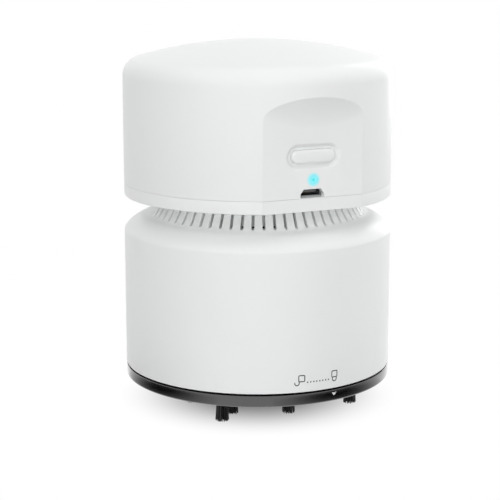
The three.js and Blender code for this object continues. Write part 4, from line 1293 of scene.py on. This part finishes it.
def make_socket_shell():
    front = FLAT_DISTANCE - HEAD_WALL - GAP
    shell = slab("socket_shell", socket_outline(SOCKET_SHELL, SOCKET_SHELL), SOCKET_BACK, front)
    back = SOCKET_BACK + SOCKET_SHELL
    cut(shell, slab("mouth", socket_outline(0, SOCKET_SHELL), back, front + OVERRUN))
    return smooth(bevelled(shell, SOCKET_BEVEL))


def make_socket_tongue():
    left = -SOCKET_OFFSET - TONGUE_WIDTH / 2
    outline = box(left, left + TONGUE_WIDTH, TONGUE_FOOT, TONGUE_FOOT + TONGUE_THICKNESS)
    tongue = slab("socket_tongue", outline, TONGUE_BACK, TONGUE_FRONT)
    return smooth(bevelled(tongue, SOCKET_BEVEL))


def make_contacts():
    """The contact strips under the tongue."""
    half = CONTACT_WIDTH / 2
    strips = []
    for i in range(CONTACT_COUNT):
        middle = (i - (CONTACT_COUNT - 1) / 2) * CONTACT_PITCH - SOCKET_OFFSET
        outline = box(middle - half, middle + half, TONGUE_FOOT - CONTACT_PROUD, TONGUE_FOOT)
        strips.append(slab("contact", outline, TONGUE_BACK + GAP, TONGUE_FRONT - GAP))
    return smooth(merged("socket_contacts", *strips))


# Screws: one pan head with a cross, modelled once for each length

def make_screw(name, length):
    corners = [
        (0, 0, 0),
        (SCREW_HEAD, 0, SCREW_HEAD_EDGE),
        (SCREW_HEAD, SCREW_HEAD_HEIGHT, 0),
        (SCREW_SHANK, SCREW_HEAD_HEIGHT, 0),
        (SCREW_SHANK, SCREW_HEAD_HEIGHT + length - SCREW_TIP, 0),
        (0, SCREW_HEAD_HEIGHT + length, 0),
    ]
    screw = turned(name, rounded(corners), PIN_STEPS)
    half = SCREW_HEAD * SCREW_CROSS_SHARE
    bars = []
    for turn in (0, QUARTER_TURN):
        plan = box(-half, half, -SCREW_CROSS / 2, SCREW_CROSS / 2)
        bars.append(turned_by(upright("bar", plan, -OVERRUN, SCREW_CROSS_DEPTH), turn))
    cut(screw, *bars)
    return smooth(screw)


def set_screws(kind, count, body, length, circle, start, height):
    """Copies of one screw on a circle, one for each node that they stand for."""
    pattern = make_screw("screw_pattern", length)
    for i in range(count):
        name = f"{kind}_{i + 1}"
        angle = start + FULL_TURN * i / count
        place = on_circle(circle, angle, height)
        dressed(turned_by(copied(pattern, f"{name}_smooth"), angle, place), body, "zinc", name)
    bpy.data.objects.remove(pattern)


# Filter under the web

def make_filter_frame():
    rim = soft_box(FILTER_BORE, FILTER_RADIUS, FILTER_FOOT, FILTER_TOP, FILTER_EDGE)
    whole = turned("filter_rim", rim, RING_STEPS)
    hub = [
        (0, FILTER_FOOT, 0),
        (FILTER_HUB, FILTER_FOOT, FILTER_EDGE),
        (FILTER_HUB, FILTER_FLOOR_TOP, FILTER_EDGE),
        (0, FILTER_FLOOR_TOP, 0),
    ]
    add(whole, turned("filter_hub", rounded(hub), PIN_STEPS))
    half = SPOKE_WIDTH / 2
    reach = (FILTER_BORE + FILTER_RADIUS) / 2
    for i in range(SPOKE_COUNT):
        spoke = upright("spoke", box(0, reach, -half, half), FILTER_FOOT, FILTER_FLOOR_TOP)
        spoke = turned_by(spoke, FULL_TURN * i / SPOKE_COUNT)
        combine(whole, "UNION", spoke, solver="MANIFOLD")  # its faces lie on the hub's and rim's
    grip = box(-PULL_LENGTH / 2, PULL_LENGTH / 2, -PULL_THICKNESS / 2, PULL_THICKNESS / 2)
    pull = upright("pull", grip, PULL_FOOT, FILTER_FLOOR_TOP - GAP)
    return smooth(add(whole, bevelled(pull, PULL_BEVEL, segments=3)))


def make_filter_pad():
    """A felt disc, soft at its edge, with a slightly uneven face."""
    middle = [(0, PAD_FOOT, 0)]
    lower = [(PAD_RADIUS * i / PAD_RINGS, PAD_FOOT, 0) for i in range(1, PAD_RINGS)]
    upper = [(PAD_RADIUS * i / PAD_RINGS, PAD_TOP, 0) for i in range(PAD_RINGS - 1, 0, -1)]
    rim = [(PAD_RADIUS, PAD_FOOT, PAD_EDGE), (PAD_RADIUS, PAD_TOP, PAD_EDGE)]
    outline = rounded([*middle, *lower, *rim, *upper, (0, PAD_TOP, 0)])
    pad = turned("filter_felt_disc", outline, RING_STEPS)
    lumps = bpy.data.textures.new("felt_lumps", "CLOUDS")
    lumps.noise_scale = PAD_LUMP
    finish_with(pad, "DISPLACE", texture=lumps, strength=PAD_RELIEF, mid_level=1.0)
    return smooth(pad)


def make_ring_seal(name, inner, outer, bottom, top):
    return smooth(turned(name, soft_box(inner, outer, bottom, top, SEAL_EDGE), RING_STEPS))


# Base: ring with the lock's lugs, suction plate and brushes

def make_ring():
    corners = [
        (RING_BORE, RING_FOOT, RING_TOP_EDGE),
        (RING_RADIUS, RING_FOOT, RING_EDGE),
        (RING_RADIUS, RING_TOP, RING_TOP_EDGE),
        (COLLAR_RADIUS, RING_TOP, 0),
        (COLLAR_RADIUS, COLLAR_TOP, 0),
        (COLLAR_BORE, COLLAR_TOP, 0),
        (COLLAR_BORE, LEDGE_TOP, 0),
        (LEDGE_BORE, LEDGE_TOP, 0),
        (LEDGE_BORE, LEDGE_FOOT, 0),
        (RING_BORE, LEDGE_FOOT, 0),
    ]
    ring = turned("gloss_ring", rounded(corners))
    tip, bottom, top = BASE_LUG
    lug = sector("base_lug", COLLAR_RADIUS - LUG_ROOT, tip, bottom, top, 0, LUG_ANGLE)
    place = (BASE_SCREW_CIRCLE, 0)
    boss = rod("base_boss", BOSS_RADIUS, LEDGE_FOOT + GAP, BASE_BOSS_TOP, place)
    hole = rod("base_hole", SCREW_WAY, LEDGE_FOOT - OVERRUN, BASE_BOSS_TOP - GAP, place)
    add(ring, around(lug, LUG_COUNT), around(boss, CARRIER_COUNT, BASE_SCREW_START))
    cut(ring, around(hole, CARRIER_COUNT, BASE_SCREW_START))
    return smooth(ring)


def make_suction_plate():
    corners = [
        (MOUTH_RADIUS, PLATE_FOOT, MOUTH_EDGE),
        (PLATE_RADIUS, PLATE_FOOT, RING_TOP_EDGE),
        (PLATE_RADIUS, PLATE_TOP, 0),
        (MOUTH_RADIUS + TUBE_WALL, PLATE_TOP, 0),
        (THROAT_RADIUS + TUBE_WALL, THROAT_HEIGHT, 0),
        (THROAT_RADIUS + TUBE_WALL, TUBE_TOP, TUBE_EDGE),
        (THROAT_RADIUS, TUBE_TOP, TUBE_EDGE),
        (THROAT_RADIUS, THROAT_HEIGHT, THROAT_EDGE),
    ]
    plate = turned("suction_plate_smooth", rounded(corners), RING_STEPS)
    below = PLATE_FOOT - OVERRUN
    middle = TUFT_PITCH / 2
    sweep = CARRIER_SWEEP + 2 * GAP / CARRIER_INNER
    inner = CARRIER_INNER - GAP
    outer = CARRIER_OUTER + GAP
    pocket = sector("pocket", inner, outer, below, POCKET_TOP, middle, sweep)
    place = (BASE_SCREW_CIRCLE, 0)
    above = PLATE_TOP + OVERRUN
    ways = screw_ways(CARRIER_COUNT, place, PLATE_FOOT, below, above, BASE_SCREW_START)
    holes = [
        turned_by(rod("peg_hole", PEG_RADIUS + GAP, PLATE_FOOT, above, (PEG_CIRCLE, 0)), angle)
        for angle in PEG_ANGLES
    ]
    cut(
        plate,
        around(pocket, CARRIER_COUNT),
        *ways,
        *[around(hole, CARRIER_COUNT) for hole in holes],
    )
    return smooth(plate)


def make_bristle():
    """One bristle, a tapered four-sided strand that ends bluntly at the floor."""
    deselect()
    bpy.ops.mesh.primitive_cone_add(
        vertices=BRISTLE_SIDES,
        radius1=BRISTLE_RADIUS * BRISTLE_TAPER,
        radius2=BRISTLE_RADIUS,
        depth=TUFT_TOP,
        location=(0, 0, TUFT_TOP / 2),
    )
    return named("bristle")


def make_tuft(chance):
    """A bundle of bristles about the axis, spread towards the floor and a little uneven."""
    pattern = make_bristle()
    strands = []
    for i in range(BRISTLES_IN_TUFT):
        share = math.sqrt((i + 0.5) / BRISTLES_IN_TUFT)
        turn = i * GOLDEN_TURN
        strand = copied(pattern, f"bristle_{i}")
        lean = Vector((math.cos(turn), math.sin(turn))) * share * TUFT_SPLAY
        lean += Vector((chance.uniform(-1, 1), chance.uniform(-1, 1))) * TUFT_JITTER
        root = Vector((math.cos(turn), math.sin(turn))) * share * TUFT_RADIUS
        lift = chance.uniform(0, TUFT_UNEVEN)
        for vertex in strand.data.vertices:
            fall = 1 - vertex.co.z / TUFT_TOP
            vertex.co.x += root.x + lean.x * fall**2
            vertex.co.y += root.y + lean.y * fall**2
            vertex.co.z += lift * fall
        strands.append(strand)
    bpy.data.objects.remove(pattern)
    return merged("tuft", *strands)


def make_carrier(name, turn, chance):
    """A curved backing with rounded edges, its two pegs and its three tufts."""
    spread = (CARRIER_FOOT, CARRIER_TOP, TUFT_PITCH / 2, CARRIER_SWEEP)
    backing = sector("backing", CARRIER_INNER, CARRIER_OUTER, *spread)
    bevelled(backing, CARRIER_BEVEL, segments=3, angle=SHARP_ANGLE)
    for angle in PEG_ANGLES:
        peg = rod("peg", PEG_RADIUS, CARRIER_TOP - GAP, PEG_TOP, (PEG_CIRCLE, 0))
        add(backing, turned_by(peg, angle))
    tuft = make_tuft(chance)
    places = ((INNER_TUFTS, 0), (INNER_TUFTS, TUFT_PITCH), (OUTER_TUFTS, TUFT_PITCH))
    tufts = []
    for radius, angle in places:
        twist = chance.uniform(0, FULL_TURN)
        tufts.append(turned_by(copied(tuft, "tuft_copy"), twist, on_circle(radius, angle)))
    bpy.data.objects.remove(tuft)
    carrier = merged(name, smooth(backing), *tufts)
    return turned_by(carrier, turn)


# Printed marks: an open and a closed lock with dots between, and the ring's pointer

def mark_box(middle, height, width, tall, rounding):
    """A square-cornered outline drawn as a line of even width."""
    sizes = ((0, rounding, 0), (MARK_LINE, max(rounding - MARK_LINE, MARK_LINE / 4), GAP))
    slabs = []
    for inset, edge, longer in sizes:
        half = width / 2 - inset
        low = height - tall / 2 + inset
        high = height + tall / 2 - inset
        outline = soft_box(-half, half, low, high, edge)
        slabs.append(slab("mark_box", outline, MARK_BACK - longer, MARK_FRONT + longer))
    return turned_by(cut(slabs[0], slabs[1]), middle)


def mark_hook(middle, low, width, left_top, right_top):
    """A U with arms of their own heights, drawn as a line of even width."""
    outer = width / 2
    inner = outer - MARK_LINE
    bottom = low + outer
    outline = [
        (-outer, left_top),
        *arc((0, bottom), outer, math.pi, FULL_TURN, HOOK_STEPS),
        (outer, right_top),
        (inner, right_top),
        *arc((0, bottom), inner, FULL_TURN, math.pi, HOOK_STEPS),
        (-inner, left_top),
    ]
    return turned_by(slab("mark_hook", outline, MARK_BACK, MARK_FRONT), middle)


def printed(name, radius, *shapes):
    """Slabs across a round wall, each cut down to a skin on its surface."""
    skin = turned("skin", box(radius - MARK_SINK, radius + MARK_PROUD, MARK_LOW, MARK_HIGH))
    for shape in shapes:
        combine(shape, "INTERSECT", copied(skin, "skin_part"))
    bpy.data.objects.remove(skin)
    return smooth(merged(name, *shapes))


def make_lock_marks():
    shapes = [
        mark_box(OPEN_LOCK, OPEN_LOCK_HEIGHT, LOCK_SIZE, LOCK_SIZE, LOCK_ROUNDING),
        mark_hook(OPEN_HOOK, HOOK_LOW, HOOK_WIDTH, HOOK_TIP, OPEN_HOOK_TOP),
        mark_box(CLOSED_LOCK, CLOSED_LOCK_HEIGHT, LOCK_SIZE, LOCK_SIZE, LOCK_ROUNDING),
        mark_hook(CLOSED_LOCK, HOOK_LOW, HOOK_WIDTH, CLOSED_HOOK_TOP, CLOSED_HOOK_TOP),
    ]
    half = DOT_SIZE / 2
    outline = box(-half, half, DOT_HEIGHT - half, DOT_HEIGHT + half)
    for i in range(DOT_COUNT):
        dot = slab("dot", outline, MARK_BACK, MARK_FRONT)
        shapes.append(turned_by(dot, DOT_START + i * DOT_PITCH))
    return printed("lock_marks", DRUM_RADIUS, *shapes)


def make_pointer():
    outline = [
        (-POINTER_HALF, POINTER_TOP),
        (0, POINTER_TIP),
        (POINTER_HALF, POINTER_TOP),
        (0, POINTER_DIP),
    ]
    pointer = turned_by(slab("pointer", outline, MARK_BACK, MARK_FRONT), POINTER_TURN)
    return printed("ring_pointer", RING_RADIUS, pointer)


def painted(piece, finish):
    piece.data.materials.clear()
    piece.data.materials.append(finish.material)
    return piece


def dressed(piece, body, finish, *nodes):
    """Gives a finished piece its body, finish and the solids that it stands for."""
    painted(piece, finishes[finish])
    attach(piece, body)
    if nodes:
        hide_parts(*nodes)
    return piece


dressed(make_drum(), "housing", "white_plastic", "body_shell")
# The head shell wears the white plastic with the painted glow round the lens
dressed(make_head_shell(), "housing", "white_plastic_painted_glow", "top_shell")
dressed(make_head_base(), "housing", "white_plastic", "head_base")
dressed(make_button(), "button", "white_plastic", "power_button")
dressed(make_lens(), "housing", "lamp_light", "led_lens")
dressed(make_socket_shell(), "housing", "steel", "usb_shell")
dressed(make_socket_tongue(), "housing", "grey_plastic", "usb_tongue")
dressed(make_contacts(), "housing", "brass")
dressed(make_ring(), "base", "black_gloss", "base_ring")
dressed(make_suction_plate(), "base", "black_plastic", "suction_plate")
dressed(make_ring_seal("base_seal_ring", *BASE_SEAL), "base", "rubber", "base_seal")
dressed(make_filter_frame(), "filter", "black_plastic", "filter_frame")
dressed(make_filter_pad(), "filter", "filter_felt", "filter_pad")
dressed(make_ring_seal("filter_seal_ring", *FILTER_SEAL), "filter", "rubber", "filter_seal")
dressed(make_lock_marks(), "housing", "grey_print")
dressed(make_pointer(), "base", "white_print")

chance = random.Random(BRUSH_SEED)
for k in range(CARRIER_COUNT):
    carrier = make_carrier(f"brush_{k + 1}", k * QUARTER_TURN, chance)
    dressed(carrier, "base", "bristle_nylon", f"brush_carrier_{k + 1}")

for screws in SCREWS:
    set_screws(*screws)

for finish, names in INSIDE_FINISHES.items():
    for name in names:
        painted(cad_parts[name], finishes[finish])


# Camera, floor and light

def make_camera():
    sine = math.sin(CAMERA_TURN)
    cosine = math.cos(CAMERA_TURN)
    across = -sine * CAMERA_DISTANCE - cosine * CAMERA_SIDE
    along = -cosine * CAMERA_DISTANCE + sine * CAMERA_SIDE
    data = bpy.data.cameras.new("photo_camera")
    data.lens = CAMERA_LENS
    data.sensor_width = CAMERA_SENSOR
    camera = bpy.data.objects.new("photo_camera", data)
    camera.location = (across, along, CAMERA_HEIGHT)
    camera.rotation_euler = (QUARTER_TURN - CAMERA_TILT, 0, -CAMERA_TURN)
    bpy.context.collection.objects.link(camera)
    bpy.context.scene.camera = camera


def softbox(name, azimuth, elevation, distance, width, height, power, glints):
    """An area lamp that looks at the object; azimuth 0 is in front of the flat, + to its right."""
    azimuth = math.radians(azimuth)
    elevation = math.radians(elevation)
    towards = Vector((
        math.sin(azimuth) * math.cos(elevation),
        -math.cos(azimuth) * math.cos(elevation),
        math.sin(elevation),
    ))
    data = bpy.data.lights.new(name, "AREA")
    data.shape = "RECTANGLE"
    data.size = width
    data.size_y = height
    data.energy = power
    lamp = bpy.data.objects.new(name, data)
    lamp.location = Vector(LIT_MIDDLE) + towards * distance
    lamp.rotation_euler = towards.to_track_quat("Z", "Y").to_euler()
    lamp.visible_glossy = glints
    bpy.context.collection.objects.link(lamp)


def seen_rays(finish):
    """1 for what the camera sees, straight or in gloss or through glass."""
    camera, glossy, through = (
        finish.node("ShaderNodeLightPath", {}, {}, output=f"Is {kind} Ray")
        for kind in ("Camera", "Glossy", "Transmission")
    )
    return finish.maths("MINIMUM", camera + glossy + through, 1)


def make_floor():
    """A pale sheet that keeps the shadow under the object and goes white around it."""
    deselect()
    bpy.ops.mesh.primitive_plane_add(size=FLOOR_SIZE)
    floor = named("floor")
    finish = Finish("floor_paper")
    finish.wear(Base_Color=finish.shade(finish.noise(scale=3)))
    away = finish.distance((0, 0, 0))
    white = finish.fade(away, FLOOR_NEAR, FLOOR_FAR, first=FLOOR_LIFT)
    glow = finish.node("ShaderNodeEmission", {}, {"Color": WHITE, "Strength": 1})
    surfaces = {0: seen_rays(finish) * white, 1: finish.body(), 2: glow}
    finish.show(finish.node("ShaderNodeMixShader", {}, surfaces))
    painted(floor, finish)


def make_flag(azimuth):
    """A card on the floor that only gloss sees, black in the middle and white at its ends."""
    middle = math.radians(azimuth) - QUARTER_TURN
    flag = sector("flag", FLAG_INNER, FLAG_OUTER, FLAG_LIFT, FLAG_LIFT + GAP, middle, FLAG_SWEEP)
    radius = (FLAG_INNER + FLAG_OUTER) / 2
    finish = Finish("flag_card")
    away = finish.distance(on_circle(radius, middle, FLAG_LIFT))
    white = finish.fade(away, FLAG_CORE, FLAG_REACH)
    finish.wear(Base_Color=BLACK, Emission_Color=finish.between(white, BLACK, WHITE))
    painted(flag, finish)
    for rays in ("camera", "diffuse", "shadow", "transmission"):
        setattr(flag, f"visible_{rays}", False)


def make_world():
    world = bpy.data.worlds.new("studio")
    bpy.context.scene.world = world
    world.use_nodes = True
    finish = Finish.of_world(world)
    strength = seen_rays(finish) * (1 - WORLD_LIGHT) + WORLD_LIGHT
    background = world.node_tree.nodes["Background"]
    finish.feed(background.inputs["Strength"], strength)
    finish.feed(background.inputs["Color"], WHITE)


make_camera()
make_floor()
for azimuth in FLAG_AZIMUTHS:
    make_flag(azimuth)
make_world()
for lamp in LAMPS:
    softbox(*lamp)
bpy.context.scene.view_settings.view_transform = "Standard"
